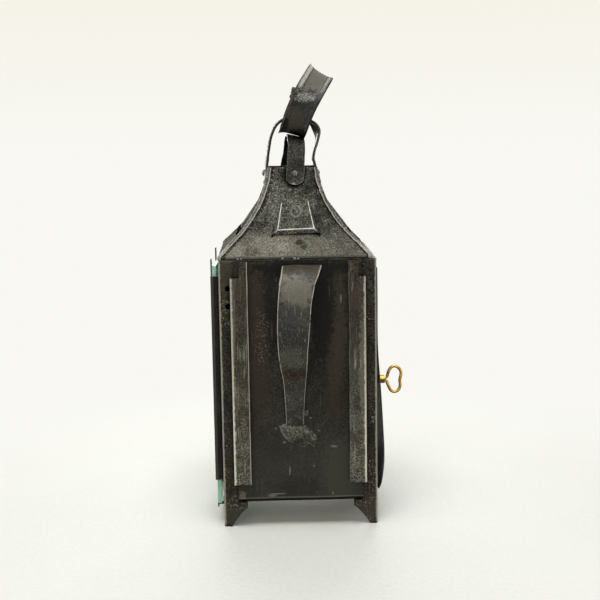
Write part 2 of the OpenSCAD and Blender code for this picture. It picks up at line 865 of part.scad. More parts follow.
// Round wire along a path in the xz plane.
module wire(c, r) {
    sides = 8;
    last = len(c) - 1;
    points = [for (i = [0:last])
        let (g = ahead(c, i), n = [g[2], 0, -g[0]])
            each [for (k = [0:sides - 1])
                c[i] + r * (cos(360 * k / sides) * n + sin(360 * k / sides) * [0, 1, 0])
            ]
    ];
    skin = [for (i = [0:last - 1]) for (k = [0:sides - 1])
        let (a = sides * i + k, b = sides * i + (k + 1) % sides)
            each [[a, b + sides, b], [a, a + sides, b + sides]]
    ];
    start = [for (k = [0:sides - 1]) k];
    finish = [for (k = [sides - 1:-1:0]) sides * last + k];
    polyhedron(points = points, faces = concat([start, finish], skin));
}

module key_shank() {
    inside = 2.4;
    bow_seat = 0.15;
    long = bow_x - bow_seat - half + inside;
    color(brass)
        translate([half - inside, key_y, key_z])
            rotate([0, 90, 0])
                cylinder(d = shank_d, h = long, $fn = round_n);
}

// Flat tongue behind the door. Its nose stops just short of the post.
module latch_tongue() {
    nose = 2.2;
    thick = 1.2;
    reach = key_clear - 0.5;
    color(brass)
        translate([half - 2.2, key_y, key_z])
            rotate([0, 90, 0])
                linear_extrude(thick)
                    difference() {
                        union() {
                            circle(r = nose + 1, $fn = round_n);
                            translate([-nose, -reach])
                                square([2 * nose, reach]);
                        }
                        circle(d = shank_d + 2 * hair, $fn = round_n);
                    }
}

// ---- candle --------------------------------------------------------------

module drip_pan() {
    r = drip_d / 2;
    color(back_colour)
        translate([0, 0, drip_z])
            rotate_extrude($fn = 96)
                polygon([
                    [0, 0], [r - 4, 0], [r, 4.6], [r, 5.6], [r - 0.9, 5.6], [r - 4.5, drip_t], [0, drip_t]
                ]);
}

module candle_socket() {
    color(back_colour)
        translate([0, 0, socket_z])
            difference() {
                union() {
                    cylinder(r = socket_r + socket_t, h = socket_h, $fn = round_n);
                    cylinder(r = socket_r + 4, h = socket_t, $fn = round_n);
                }
                translate([0, 0, socket_t])
                    cylinder(r = socket_r, h = socket_h, $fn = round_n);
            }
}

module candle() {
    dish = candle_r * 0.7;
    color(wax)
        translate([0, 0, candle_z])
            difference() {
                cylinder(r = candle_r, h = candle_h, $fn = round_n);
                translate([0, 0, candle_h - 1.2])
                    cylinder(r = dish, h = 2, $fn = round_n);
            }
}

module wick() {
    color([0.12, 0.1, 0.09])
        translate([0, 0, candle_z + candle_h - 1.2])
            cylinder(d = 1.6, h = 9, $fn = round_n);
}

post_back_left();
post_back_right();
post_front_left();
post_front_right();
eave_frame();
floor_pan();
roof_back();
roof_front();
roof_left();
roof_right();
hood_back();
hood_front();
hood_left();
hood_right();
strap_high();
strap_low();
strap_rivets();
carry_ring();
rail_back_left();
rail_back_right();
rail_left_back();
rail_left_front();
rail_front_left();
rail_front_right();
stops_back();
stops_left();
stops_front();
back_panel();
pull_strap();
strap_solder();
green_glass();
front_glass();
door_panel();
door_leaves();
post_leaves();
hinge_pins();
key_bush();
key_bow();
key_shank();
latch_tongue();
drip_pan();
candle_socket();
candle();
wick();
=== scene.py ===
import json
import math

import bmesh
import bpy
from mathutils import Matrix, Vector, noise


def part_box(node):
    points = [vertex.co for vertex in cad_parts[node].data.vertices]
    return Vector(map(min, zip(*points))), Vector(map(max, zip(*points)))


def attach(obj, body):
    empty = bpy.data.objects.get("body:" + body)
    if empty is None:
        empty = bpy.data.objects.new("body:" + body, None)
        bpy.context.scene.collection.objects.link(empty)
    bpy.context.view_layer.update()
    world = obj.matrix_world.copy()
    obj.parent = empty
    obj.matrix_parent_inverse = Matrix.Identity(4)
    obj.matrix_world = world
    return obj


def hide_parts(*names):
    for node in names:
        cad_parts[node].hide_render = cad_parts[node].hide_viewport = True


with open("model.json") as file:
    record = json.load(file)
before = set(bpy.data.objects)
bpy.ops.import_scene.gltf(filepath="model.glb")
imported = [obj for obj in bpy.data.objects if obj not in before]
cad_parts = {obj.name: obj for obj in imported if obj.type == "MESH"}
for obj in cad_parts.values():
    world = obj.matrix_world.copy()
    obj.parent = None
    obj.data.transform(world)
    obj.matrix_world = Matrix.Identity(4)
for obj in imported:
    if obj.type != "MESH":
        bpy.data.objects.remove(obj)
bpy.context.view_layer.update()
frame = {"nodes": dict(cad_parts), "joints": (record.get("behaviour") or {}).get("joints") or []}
MM = 0.001

# ---- sizes, in millimetres and degrees ----

# The low and the high corner of each CAD piece.
CAD = {n: [[c / MM for c in corner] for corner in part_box(n)] for n in frame["nodes"]}
HALF = -CAD["post_back_left"][0][0]
BODY_H = CAD["post_back_left"][1][2]
SHEET = 0.9
LEG_W, FOOT_W, FOOT_RISE = 17, 5, 13.5
HOLE_R, HOLE_GAP, TOP_HOLE_R = 2.25, 12.4, 1.4
EAVE_Z = CAD["eave_frame"][1][2]
RIM_Z = CAD["roof_back"][1][2]
ROOF_BASE = -CAD["roof_back"][0][1]
ROOF_LEFT, ROOF_H, CHIMNEY = 1.45, 63, 17.5
HOOD_OUT = (4.0, 2.6, 3.0, 1.7)
HOOD_TOP, HOOD_LIP, HOOD_LOW = EAVE_Z + 40.5, EAVE_Z + 20, EAVE_Z + 14.2
ROOF_HEM, ROOF_PITCH, ROOF_FLAT = 2.3, 45, 18
HEM_Z = EAVE_Z + ROOF_HEM
STRAP_W, STRAP_T, STRAP_SEAT, STRAP_FOOT, LOW_RISE = 12.6, 1.8, 0.15, 13.5, 19.1
RIVET_R = 2.35
RING_R, RING_W, RING_T = 26.15, 19.6, 1.3
RING_LEAN, RING_DROP = 26.5, 3.8
RAIL_OUT, RAIL_W, RAIL_BACK, TONGUE_W, RAIL_BEND = 6, 12, 47, 7.4, 0.8
RAIL_Z0, RAIL_Z1 = 32.5, 180
PANEL_Y = 55.35
PULL_T, PULL_OUT, PULL_Z0, PULL_Z1 = 1.6, 26, 74.5, 189
PULL_TOP_W, PULL_LOW_W, PULL_BELLY = 25.6, 12.4, 1.6
# The pull strap from its foot, 0, to its top, 1: (place, middle line, share of the way to its full width).
PULL_LINE = ((0, -3.4, 0), (0.1, -3.1, 0.1), (0.16, -2.95, 0.17), (0.23, -2.85, 0.25), (0.3, -2.9, 0.33),
             (0.37, -3.4, 0.48), (0.44, -3.9, 0.61), (0.54, -4.1, 0.69), (0.63, -4.15, 0.73),
             (0.72, -3.65, 0.75), (0.78, -3.2, 0.76), (0.84, -2.3, 0.81), (0.9, -1.2, 0.85),
             (0.94, 0.3, 0.88), (0.98, 1.35, 0.95), (1, 2.4, 1))
PULL_MID = [(u, middle) for u, middle, share in PULL_LINE]
PULL_FULL = [(u, share) for u, middle, share in PULL_LINE]
# How far its right edge is moved along the way.
PULL_SIDE = ((0, 0), (0.2, -1.0), (0.5, -0.7), (0.65, 0.3), (0.9, 0.4), (1, 1.7))
DOOR_X, DOOR_Y, DOOR_Z0, DOOR_Z1, DOOR_BOW = 55.5, 47, 23, 184, 4.2
KEY_Y, KEY_Z, WIRE_R = -33, 101, 1.14 * 0.95
CANDLE_R = 11
RING_Z = next(j for j in frame["joints"] if j["name"] == "handle_swing")["pos_m"][2] / MM
# Side 0 is the -y one, and each of the next is a quarter turn further on.
SIDES = ("back", "right", "front", "left")


def sind(a):
    return math.sin(math.radians(a))


def cosd(a):
    return math.cos(math.radians(a))


def clamp(value):
    return min(1, max(0, value))


def bell(x):
    """Bell curve: 1 at 0, and nearly 0 beyond 2."""
    return math.exp(-x * x)


def lookup(u, table):
    """Value at u on the straight lines between the pairs of a table."""
    for (a, p), (b, q) in zip(table, table[1:]):
        if u <= b:
            return p + (q - p) * max(0, u - a) / (b - a)
    return table[-1][1]


# ---- shader nodes ----

class Nodes:
    """Writes the nodes of a material or world. Colours are in percent."""

    def __init__(self, owner):
        owner.use_nodes = True
        self.tree = owner.node_tree

    def find(self, kind):
        return next(n for n in self.tree.nodes if n.type == kind)

    def node(self, kind, values=(), **settings):
        n = self.tree.nodes.new("ShaderNode" + kind)
        for key, value in settings.items():
            setattr(n, key, value)
        for key, value in dict(values).items():
            self.put(n.inputs[key], value)
        return n

    def put(self, socket, value):
        if isinstance(value, bpy.types.NodeSocket):
            self.tree.links.new(value, socket)
        elif socket.type == "RGBA":
            socket.default_value = (*[c / 100 for c in value], 1)
        else:
            socket.default_value = value

    def math(self, op, *values):
        return self.node("Math", enumerate(values), operation=op).outputs[0]

    def vector(self, op, *values):
        return self.node("VectorMath", enumerate(values), operation=op)

    def times(self, *factors):
        out = factors[0]
        for f in factors[1:]:
            out = self.math("MULTIPLY", out, f)
        return out

    def most(self, *values):
        out = values[0]
        for v in values[1:]:
            out = self.math("MAXIMUM", out, v)
        return out

    def without(self, value):
        """1 less the value."""
        return self.math("SUBTRACT", 1.0, value)

    def off(self, value, middle):
        """How far a value is from middle, either way."""
        return self.math("ABSOLUTE", self.math("SUBTRACT", value, middle))

    def mix(self, fac, a, b, blend="MIX"):
        return self.node("Mix", {0: fac, 6: a, 7: b}, data_type="RGBA", blend_type=blend).outputs[2]

    def blend(self, fac, a, b):
        return self.node("Mix", {0: fac, 2: a, 3: b}, data_type="FLOAT").outputs[0]

    def axis(self, name, vector):
        return self.node("SeparateXYZ", {0: vector}).outputs[name]

    def seen(self):
        """1 for rays that see the backdrop: from the camera, off gloss or through glass."""
        path = self.node("LightPath").outputs
        return self.most(*[path[f"Is {ray} Ray"] for ray in ("Camera", "Glossy", "Transmission")])


class Shade(Nodes):
    """A material whose colour is built up in layers. Sizes are in millimetres, except on x, y and z."""

    def __init__(self, name, specular=0.5, **surface):
        self.mat = bpy.data.materials.new(name)
        super().__init__(self.mat)
        self.bsdf = self.find("BSDF_PRINCIPLED")
        self.bsdf.inputs["Specular IOR Level"].default_value = specular
        for key, value in surface.items():
            self.bsdf.inputs[key.replace("_", " ")].default_value = value
        where = self.node("TexCoord").outputs
        self.place, self.facing = where["Object"], where["Normal"]
        self.x, self.y, self.z = self.node("SeparateXYZ", {0: self.place}).outputs
        self.rim = self.node("Attribute", attribute_name="rim").outputs["Fac"]

    def stretched(self, scale, turn=(0, 0, 0)):
        return self.node("Mapping", {"Vector": self.place, "Scale": scale, "Rotation": turn}).outputs[0]

    def noise(self, size, detail=3, rough=0.55, distort=0.0, at=None, shift=0.0):
        """Noise whose features are about size millimetres across."""
        vector = at or self.place
        if shift:
            vector = self.vector("ADD", vector, (shift, shift * 0.7, shift * 1.3)).outputs[0]
        values = {"Vector": vector, "Scale": 1 / (size * MM), "Detail": detail, "Roughness": rough}
        return self.node("TexNoise", {**values, "Distortion": distort}).outputs["Fac"]

    def step(self, value, low, high, out=(0.0, 1.0)):
        """Smooth step from low to high."""
        values = {"Value": value, "From Min": low, "From Max": high, "To Min": out[0], "To Max": out[1]}
        return self.node("MapRange", values, interpolation_type="SMOOTHSTEP").outputs[0]

    def mottle(self, low, high, *size, **more):
        """Patches of noise, 1 where it is above high."""
        return self.step(self.noise(*size, **more), low, high)

    def spot(self, centre, radii, soft=0.6, ragged=2.4):
        """A ragged patch around a point, 1 inside."""
        off = self.vector("SUBTRACT", self.place, tuple(c * MM for c in centre)).outputs[0]
        scaled = self.vector("MULTIPLY", off, tuple(1 / (r * MM) for r in radii)).outputs[0]
        length = self.vector("LENGTH", scaled).outputs["Value"]
        grain = self.noise(min(3.5, 0.7 * min(radii)), 4, 0.7)
        rough = self.math("MULTIPLY_ADD", grain, ragged, -0.5 * ragged)
        return self.step(self.math("ADD", length, rough), 1 + soft / 2, 1 - soft / 2)

    def plan(self, pick):
        """MINIMUM or MAXIMUM of |x| and |y| in millimetres. MINIMUM peaks along the body's corners."""
        x, y = self.math("ABSOLUTE", self.x), self.math("ABSOLUTE", self.y)
        return self.times(self.math(pick, x, y), 1000)

    def lay(self, colour, *factors, blend="MIX"):
        """Mixes a colour over what is there, as far as the product of the factors."""
        self.colour = self.mix(self.times(*factors), self.colour, colour, blend)

    def paint(self, *marks):
        """Lays ragged marks over the colour, each (centre, radii, colour, strength)."""
        for centre, radii, colour, strength in marks:
            self.lay(colour, self.spot(centre, radii), strength)

    def spots(self, *marks):
        """Ragged marks, each (centre, radii) or (centre, radii, strength)."""
        return self.most(*[self.times(self.spot(c, r), *strength) for c, r, *strength in marks])

    def edge(self, width):
        """1 along sharp edges, within about width millimetres."""
        bevel = self.node("Bevel", {"Radius": width * MM}, samples=4).outputs[0]
        flat = self.node("NewGeometry").outputs["Normal"]
        return self.step(self.vector("DOT_PRODUCT", bevel, flat).outputs["Value"], 0.99, 0.8)

    def wear(self, width, low, high, size, strength):
        """Broken bare lines along sharp edges."""
        return self.times(self.edge(width), self.mottle(low, high, size, 4, 0.7), strength)

    def specks(self, low, high, size):
        small = self.mottle(low, high, size, 3, 0.7, shift=5.1)
        return self.times(small, self.step(self.cloud, 0.4, 0.6), 0.45)

    def rub(self, lines, size, stretch, patches, broad, strength):
        """Fine upright scratches in broad patches."""
        fine = self.mottle(*lines, size, 3, 0.6, at=self.stretched((1, 1, stretch)), shift=0.8)
        return self.times(fine, self.mottle(*patches, broad, 3, shift=4.4), strength)

    def crevice_shade(self, reach):
        """Painted shade: darkens crevices, 0.1 in a tight corner, 1 in the open."""
        open_air = self.node("AmbientOcclusion", {"Distance": reach * MM}, samples=6).outputs["AO"]
        return self.step(open_air, 0.3, 0.92, (0.1, 1.0))

    def bump(self, height, depth):
        return self.node("Bump", {"Strength": 1.0, "Distance": depth * MM, "Height": height}).outputs[0]

    def done(self, rough, normal, metal=0.0):
        values = {"Base Color": self.colour, "Roughness": rough, "Normal": normal, "Metallic": metal}
        for key, value in values.items():
            self.put(self.bsdf.inputs[key], value)
        return self.mat

    def patina(self, dark, light, grain=1.3, grit=0.7, pits=0.5, shift=0.0):
        """Mottled dark tin, with the fine and the broad noise it is made from."""
        broad = self.noise(42, 3, 0.6, 0.4, shift=shift)
        self.cloud = self.noise(9, 5, 0.7, 0.3, shift=shift)
        self.fine = self.noise(grain, 3, 0.62, shift=shift + 0.3)
        tone = self.math("ADD", self.times(broad, 0.45), self.times(self.cloud, 0.55))
        self.colour = self.mix(self.step(tone, 0.4, 0.6), dark, light)
        self.lay(self.step(self.fine, 0.36, 0.66, (1 - grit, 1 + 1.4 * grit)), 1.0, blend="MULTIPLY")
        black = self.times(self.mottle(0.54, 0.63, grain * 1.5, 3, 0.7, shift=shift + 0.7), pits)
        self.lay(tuple(0.25 * c for c in dark), black)

    def worn(self, shine, bare, rough=(0.4, 0.6), pit=0.22, polish=0.36):
        """Lays bare metal over the patina where shine is 1, paints shade into crevices and finishes the
        material.
        """
        self.lay(bare, shine)
        # Painted shade in crevices.
        self.lay(self.crevice_shade(5), 1.0, blend="MULTIPLY")
        self.lay((100, 98.5, 93), 1.0, blend="MULTIPLY")
        roughness = self.blend(shine, self.blend(self.step(self.fine, 0.3, 0.7), *rough), polish)
        height = self.math("ADD", self.times(self.fine, 0.7), self.times(self.cloud, 0.6))
        return self.done(roughness, self.bump(height, pit), self.times(shine, 0.35))


# ---- materials ----

def post_tin(name, dark, light, lines):
    s = Shade(name, 0.08)
    s.patina(dark, light, 1.3, 0.6, 0.6)
    s.lay((6, 5.7, 4.5), s.step(s.z, 0.03, 0.008), 0.5)
    s.lay((4, 3, 2.1), s.mottle(0.52, 0.66, 17, 4, 0.6, shift=1.3), 0.5)
    s.paint(((-50, -55, 181), (9, 20, 12), (9, 8.2, 6.2), 0.4))
    s.lay((0.7, 0.65, 0.6), s.step(s.rim, 0.6, 0.9))
    ragged = s.times(s.noise(2.8, 4, 0.75, shift=0.4), 2.2)
    line = s.times(s.step(s.math("ADD", s.plan("MINIMUM"), ragged), 54.5, 55.2), lines)
    scuff = s.times(s.step(s.fine, 0.55, 0.66), s.mottle(0.52, 0.64, 13, 4, 0.6, shift=2.2), 0.4)
    wear = s.wear(0.6, 0.35, 0.6, 2.6, 0.45 * min(1, 2 * lines))
    return s.worn(s.most(line, scuff, wear), (62, 60, 52))


def door_tin(name, black):
    """Dark tin with light edges: black inside for the door, a lighter outer face for the left rails."""
    s = Shade(name, 0.08)
    s.patina((1.8, 1.7, 1.4), (3.6, 3.4, 2.9), 1.3, 0.5, 0.5, 0.9)
    inner = s.step(s.rim, 0.6, 0.9) if black else s.step(s.noise(20), 0.3, 0.6, (0.1, 0.5))
    s.lay((0.6, 0.6, 0.6), inner)
    if not black:
        s.lay((5.5, 5.4, 4.5), s.step(s.x, -0.0586, -0.0592))
    return s.worn(s.wear(0.5, 0.25, 0.5, 2.6, 0.7), (55, 54, 47))


def rail_tin():
    s = Shade("rail_tin", 0.12)
    s.patina((2, 1.75, 1.35), (4.8, 4.2, 3.3), 1.2, 0.6, 0.35, 0.52)
    low = s.step(s.z, 0.15, 0.055)
    s.lay((5.2, 3.8, 2.7), s.mottle(0.48, 0.62, 15, 4, 0.6, shift=3.1), 0.6)
    s.paint(((45.5, -61, 112), (3.4, 20, 42), (17, 15.5, 12.5), 0.6),
            ((38.5, -61, 100), (3.0, 20, 60), (3.4, 3, 2.4), 0.5),
            # The pale line on the left rail's outer edge is painted highlight, as if lit from the left.
            ((-45.5, -61, 150), (1.6, 20, 34), (16, 14, 12), 0.5))
    patchy = s.step(s.noise(11, 4, 0.65, shift=1.7), 0.36, 0.56, (0.25, 1.0))
    silver = s.times(s.mottle(0.4, 0.62, 1.1, 2, 0.8, shift=2.1), s.blend(low, 0.06, 0.95), patchy)
    s.lay((20, 19, 16), silver)
    s.lay((2, 1.7, 1.4), s.mottle(0.53, 0.6, 1.5, 3, 0.75, shift=7.7), low, 0.75)
    rub = s.rub((0.55, 0.68), 0.9, 0.04, (0.42, 0.6), 24, 0.3)
    corner = s.plan("MINIMUM")
    place = s.math("ADD", corner, s.times(s.noise(3.2, 4, 0.7, shift=0.9), 2.4))
    outer = s.times(s.step(place, 46.4, 47.4), s.blend(low, 0.6, 0.95), s.step(s.plan("MAXIMUM"), 60.0, 60.4))
    inner = s.times(s.step(corner, 35.8, 35.2), s.step(s.x, 0.01, -0.01, (0.08, 0.5)))
    return s.worn(s.most(rub, outer, inner), (66, 64, 56), (0.36, 0.55), 0.3)


def panel_tin():
    s = Shade("panel_tin", 0.1)
    s.patina((1.65, 1.5, 1.25), (3.2, 2.9, 2.4), 1.4, 0.45, 0.4, 0.21)
    s.lay((3.8, 3.6, 3), s.step(s.z, 0.105, 0.04), 0.6)
    # The near-black marks beside the pull strap and under the eave are painted shadows; the faint one low
    # down just darkens the panel there.
    rust, near_black = (3.6, 2.6, 1.9), (0.7, 0.66, 0.6)
    s.paint(((-28, -56, 128), (8, 40, 46), rust, 0.7), ((-35, -56, 168), (7, 40, 26), rust, 0.6),
            ((26, -56, 140), (8, 40, 40), (4.6, 3.6, 2.7), 0.7), ((24, -56, 92), (7, 40, 14), rust, 0.5),
            ((17, -56, 157), (8.5, 40, 36), near_black, 0.95), ((-19, -56, 156), (5, 40, 34), near_black, 0.65),
            ((4, -56, 186), (36, 40, 6), near_black, 0.95), ((-2, -56, 28), (14, 40, 8), near_black, 0.35),
            ((30, -56, 40), (13, 40, 24), (5.2, 5, 4.2), 0.6),
            ((-41.5, -56, 22.4), (2.4, 40, 4), (15, 13.5, 11), 0.8))
    specks = s.times(s.spot((-25.5, -56, 137), (5, 40, 20)), s.step(s.fine, 0.54, 0.62), 0.2)
    scratches = ((-17, 23.9, 6, 0.5), (-20.5, 22.6, 3, 0.8), (-7.6, 41, 0.5, 3.2), (9.7, 44, 0.6, 0.6),
                 (22.8, 23.6, 0.8, 0.8), (29.9, 164, 0.6, 3.0), (24, 58, 2.4, 0.7), (4.2, 82, 1.6, 1.2),
                 (-37, 33, 0.4, 2.4))
    # A thin pale line just above the bottom edge: painted highlight where that edge catches the light.
    hem = s.times(s.step(s.off(s.z, 0.0213), 0.0006, 0.0002), 0.18)
    shine = s.most(s.rub((0.58, 0.72), 0.8, 0.03, (0.45, 0.62), 26, 0.12), specks, hem,
                   *[s.times(s.spot((x, -56, z), (w, 40, h), 0.8, 0.9), 0.26) for x, z, w, h in scratches])
    # The panel is black below 20.8 mm, painted shade under its turned-in bottom edge, and dark on its inner
    # face.
    black = s.most(s.step(s.z, 0.0208, 0.0202), s.step(s.rim, 0.6, 0.9))
    s.lay((0.4, 0.4, 0.4), black)
    return s.worn(s.times(shine, s.without(black)), (42, 41, 36), (0.4, 0.58), 0.18)


def roof_tin(name, dark, light, details):
    s = Shade(name, 0.0)
    s.patina(dark, light, 1.15, 0.65, 0.45, 0.41)
    shine = details(s, s.specks(0.54, 0.66, 0.9), s.wear(0.9, 0.34, 0.56, 2.2, 0.7))
    return s.worn(shine, (60, 60.5, 58), (0.38, 0.58), 0.42)


def hood_details(s, specks, wear):
    """Painted highlight lines along the hood's creases, and painted shade inside."""
    broken = s.step(s.noise(2.4, 4, 0.7, shift=3), 0.33, 0.5, (0.25, 1.0))
    # Painted highlight along the creases.
    line = s.times(s.step(s.rim, 0.35, 0.75), broken, 0.85)
    # Painted shade on the hood's inside face.
    inside = s.step(s.rim, -0.4, -0.8)
    s.lay((0.8, 0.8, 0.7), inside)
    return s.most(specks, s.times(s.most(s.times(wear, 0.4), line), s.without(inside)))


def roof_details(s, specks, wear):
    """A pale, warm lower part whose paleness is painted light, strongest on the left, a dark hem, painted
    shadow under the hoods' mouths, and painted shadow lines at the hips and round the strap's foot.
    """
    # The lower part is painted paler and warmer, strongest on the left: painted light where the slope faces
    # up.
    low = s.step(s.z, 0.216, 0.2)
    warm_lit = s.mix(s.step(s.fine, 0.36, 0.64), (8.9, 8.3, 6.7), (21.6, 20.5, 16.8))
    pale = s.mix(s.step(s.fine, 0.38, 0.62), (12.5, 11.8, 9.7), (32, 30.5, 26))
    right = s.step(s.x, 0.004, 0.03)
    s.lay(warm_lit, low, s.blend(right, 0.9, 0.45))
    # Pale patches low on the left, which add to that painted light.
    patch = s.spots(((-17, -45, 201), (14, 16, 7), 0.7), ((-8.5, -45, 200), (6, 12, 3.6)),
                    ((-42, -50, 197), (6, 16, 5), 0.8))
    s.lay(pale, patch, 0.8)
    s.paint(((2.0, -44, 202.6), (2.6, 12, 1.8), (2, 2, 1.6), 0.85),
            ((5.0, -44, 199.8), (2.6, 12, 2.0), (2, 2, 1.6), 0.7),
            ((-32, -48, 197), (5, 12, 4), (4.5, 4.3, 3.7), 0.5),
            ((55, -52, 193.5), (7, 14, 6), (2.2, 2.1, 1.8), 0.9))
    bright = s.spots(((-15, -21, 241), (6, 10, 9)), ((-13, -25, 229), (8, 12, 11), 0.9),
                     ((12, -28, 225), (3, 9, 8), 0.7))
    specks = s.most(specks, s.times(bright, s.mottle(0.52, 0.66, 0.9, 3, 0.75, shift=9.3), 0.6))
    # Painted shadow under each hood's mouth.
    mouth = s.times(s.step(s.z, (EAVE_Z + 14.7) * MM, (EAVE_Z + 15.7) * MM),
                    s.step(s.plan("MINIMUM"), 17.5, 16.2),
                    s.step(s.z, (EAVE_Z + 22) * MM, (EAVE_Z + 20) * MM))
    s.lay((1.2, 1.15, 1), mouth, 0.8)
    hem = s.mix(s.step(s.z, (EAVE_Z + 0.4) * MM, (EAVE_Z + 0.9) * MM), (1.2, 1.2, 1), (15, 14.5, 12))
    s.lay(hem, s.step(s.z, HEM_Z * MM, (HEM_Z - 0.6) * MM), 0.75)
    # Painted shadow lines beside the hips, wider on the left.
    x = s.math("ABSOLUTE", s.math("ADD", s.x, ROOF_LEFT * MM))
    away = s.off(x, s.math("ABSOLUTE", s.y))
    away = s.math("ADD", away, s.times(s.noise(3, 3, 0.6, shift=8.2), 0.002))
    band = s.math("MULTIPLY_ADD", s.step(s.x, 0.004, -0.004), 0.0012, 0.0048)
    s.lay((0.8, 0.8, 0.7), s.step(s.math("SUBTRACT", away, band), 0.0006, -0.0008), 0.88)
    # Painted shadow round the strap's foot.
    foot = s.spot((-0.6, -22, 250.2), (7.7, 30, 10.6), 0.25, 0.3)
    s.lay((1, 1, 0.9), foot, 0.85)
    return s.most(s.times(specks, s.without(foot)), wear)


def seam_tin():
    s = Shade("seam_solder", 0.2)
    s.patina((5, 4.9, 4.2), (12, 11.6, 10), 0.9, 0.6, 0.4, 1.07)
    # Painted shadow along the seam's edges, where it meets the roof.
    s.lay((1, 1, 0.9), s.step(s.rim, 0.82, 0.98))
    # Painted highlight stripes along the seam, and a paler lower end.
    highlight_stripe = s.times(s.step(s.off(s.rim, 0.6), 0.2, 0.05), s.step(s.cloud, 0.3, 0.5, (0.35, 0.95)))
    low = s.times(s.step(s.z, 0.206, 0.196), s.step(s.fine, 0.3, 0.55), 0.8)
    s.lay((42, 40.5, 35.5), s.most(highlight_stripe, low), s.step(s.rim, 0.98, 0.85))
    return s.worn(s.times(s.step(s.fine, 0.56, 0.66), 0.4), (50, 49, 44), (0.36, 0.55), 0.3)


def strap_iron(name, dark, light, bare, *marks, edge=0.6, inner=False):
    """Dark iron. With inner, its inner side is nearly black."""
    s = Shade(name, 0.15)
    s.patina(dark, light, 1.2, 0.8, 0.5, 0.63)
    s.paint(*marks)
    shine = s.most(s.specks(0.58, 0.68, 1.0), s.wear(0.7, 0.3, 0.52, 2.2, edge))
    if inner:
        back = s.step(s.rim, 0.55, 0.85)
        s.lay((0.6, 0.6, 0.55), back)
        shine = s.times(shine, s.without(s.times(back, 0.9)))
    return s.worn(shine, bare, (0.36, 0.56), 0.35)


def ring_iron():
    """Dark iron strip: pale and smooth above its bend, partly by painted reflection, brown below, with thin
    light lines along its edges, painted highlights on its flanges and painted shade on its lower left, its
    right lip and its bottom.
    """
    s = Shade("ring_iron", 0.18)
    s.patina((2.8, 2.8, 2.55), (6.2, 6.1, 5.5), 1.1, 0.5, 0.4, 0.63)
    # Painted light and shade among these marks: the pale one above the bend is partly painted reflection; the
    # dark ones low on the left and at the bottom are painted shade.
    s.paint(((18, -14, 316), (14, 30, 9), (16.5, 16, 13.8), 0.7),
            ((3, -24, 298), (10, 30, 3.4), (1.6, 1.6, 1.5), 0.8),
            ((0, -22, 287), (7, 30, 9), (6.2, 5.3, 4.3), 0.75),
            ((-7.5, -18, 285), (3.4, 30, 9), (0.8, 0.8, 0.75), 0.85),
            ((2, -12, 277.5), (8, 30, 3.4), (1, 1, 0.9), 0.9))
    # Painted highlights on the flanges.
    light = s.spots(((8, -16, 322), (8, 30, 15)), ((24, -16, 316), (6, 30, 9), 0.6))
    s.lay((50, 50, 48), s.step(s.rim, 0.8, 0.86), light, 0.85)
    # Painted shade on the right lip.
    s.lay((0.6, 0.6, 0.6), s.step(s.rim, -0.3, -0.7))
    s.lay((2, 1.9, 1.7), s.step(s.off(s.rim, 0.8), 0.03, 0.01), 0.6)
    fleck = s.noise(0.7, 3, 0.75, shift=2.9)
    spark = s.most(s.times(s.spot((8, -24, 303), (6.5, 30, 3.2)), s.step(fleck, 0.46, 0.6), 0.7),
                   s.times(s.spot((4, -24, 306), (10, 30, 6)), s.step(fleck, 0.54, 0.64), 0.4))
    line = s.times(s.step(s.rim, 0.93, 0.98), s.mottle(0.3, 0.5, 5, 3, 0.6), 0.6)
    return s.worn(s.most(spark, line), (66, 67, 67), (0.34, 0.5), 0.2, 0.3)


def pull_iron():
    s = Shade("pull_iron", 0.18)
    s.patina((2, 2, 1.8), (4.2, 4.15, 3.6), 1.1, 0.45, 0.35, 0.85)
    # The pale mark near the top and the grey and dark marks below it are painted light and shade: lit where
    # the top bend faces up, shaded where the strap turns down.
    s.paint(((-1, -80, 173), (13, 30, 11), (16.5, 15.7, 13), 0.78),
            ((2, -74, 188), (18, 30, 4.0), (4.6, 3.8, 2.8), 0.85),
            ((-6, -80, 158), (9, 30, 7), (3.6, 3.8, 3.9), 0.6),
            ((-5, -80, 141), (14, 30, 9), (1.8, 1.8, 1.7), 0.65),
            ((-6, -78, 127), (9, 30, 7), (7, 6.8, 5.8), 0.5),
            ((-3, -72, 113.5), (14, 30, 4.6), (1.7, 1, 0.4), 1.0),
            ((-3, -66, 106), (10, 30, 4), (1.6, 1.5, 1.2), 0.75))
    rub = s.rub((0.55, 0.7), 0.7, 0.04, (0.4, 0.6), 12, 0.25)
    wear = s.times(s.step(s.rim, 0.93, 0.985), s.mottle(0.28, 0.5, 4, 4, 0.7), 0.75)
    specks = s.times(s.mottle(0.6, 0.7, 1.0, 3, 0.7, shift=5.1), 0.25)
    return s.worn(s.most(rub, wear, specks), (66, 64, 57), (0.34, 0.5), 0.16, 0.34)


def brass():
    s = Shade("worn_brass")
    cloud, fine = s.noise(3, 5, 0.65), s.noise(0.6, 3)
    s.colour = s.mix(s.step(cloud, 0.35, 0.65), (42, 22, 3.5), (76, 47, 11))
    s.lay((10, 5.5, 1.5), s.step(cloud, 0.42, 0.28), 0.7)
    s.lay((92, 68, 28), s.edge(0.5), 0.5)
    # Painted shade on the undersides.
    s.lay((5.5, 3, 1), s.step(s.axis("Z", s.facing), 0.2, -0.35), 0.85)
    # A dark line painted as the shade in the bush's slot.
    slot_shade = s.times(s.step(s.off(s.z, KEY_Z * MM), 0.0006, 0.0003), s.step(s.x, 0.066, 0.0652), 0.9)
    s.lay((3, 1.8, 0.8), slot_shade)
    return s.done(s.blend(s.step(fine, 0.3, 0.7), 0.24, 0.42), s.bump(s.math("ADD", fine, cloud), 0.05), 0.9)


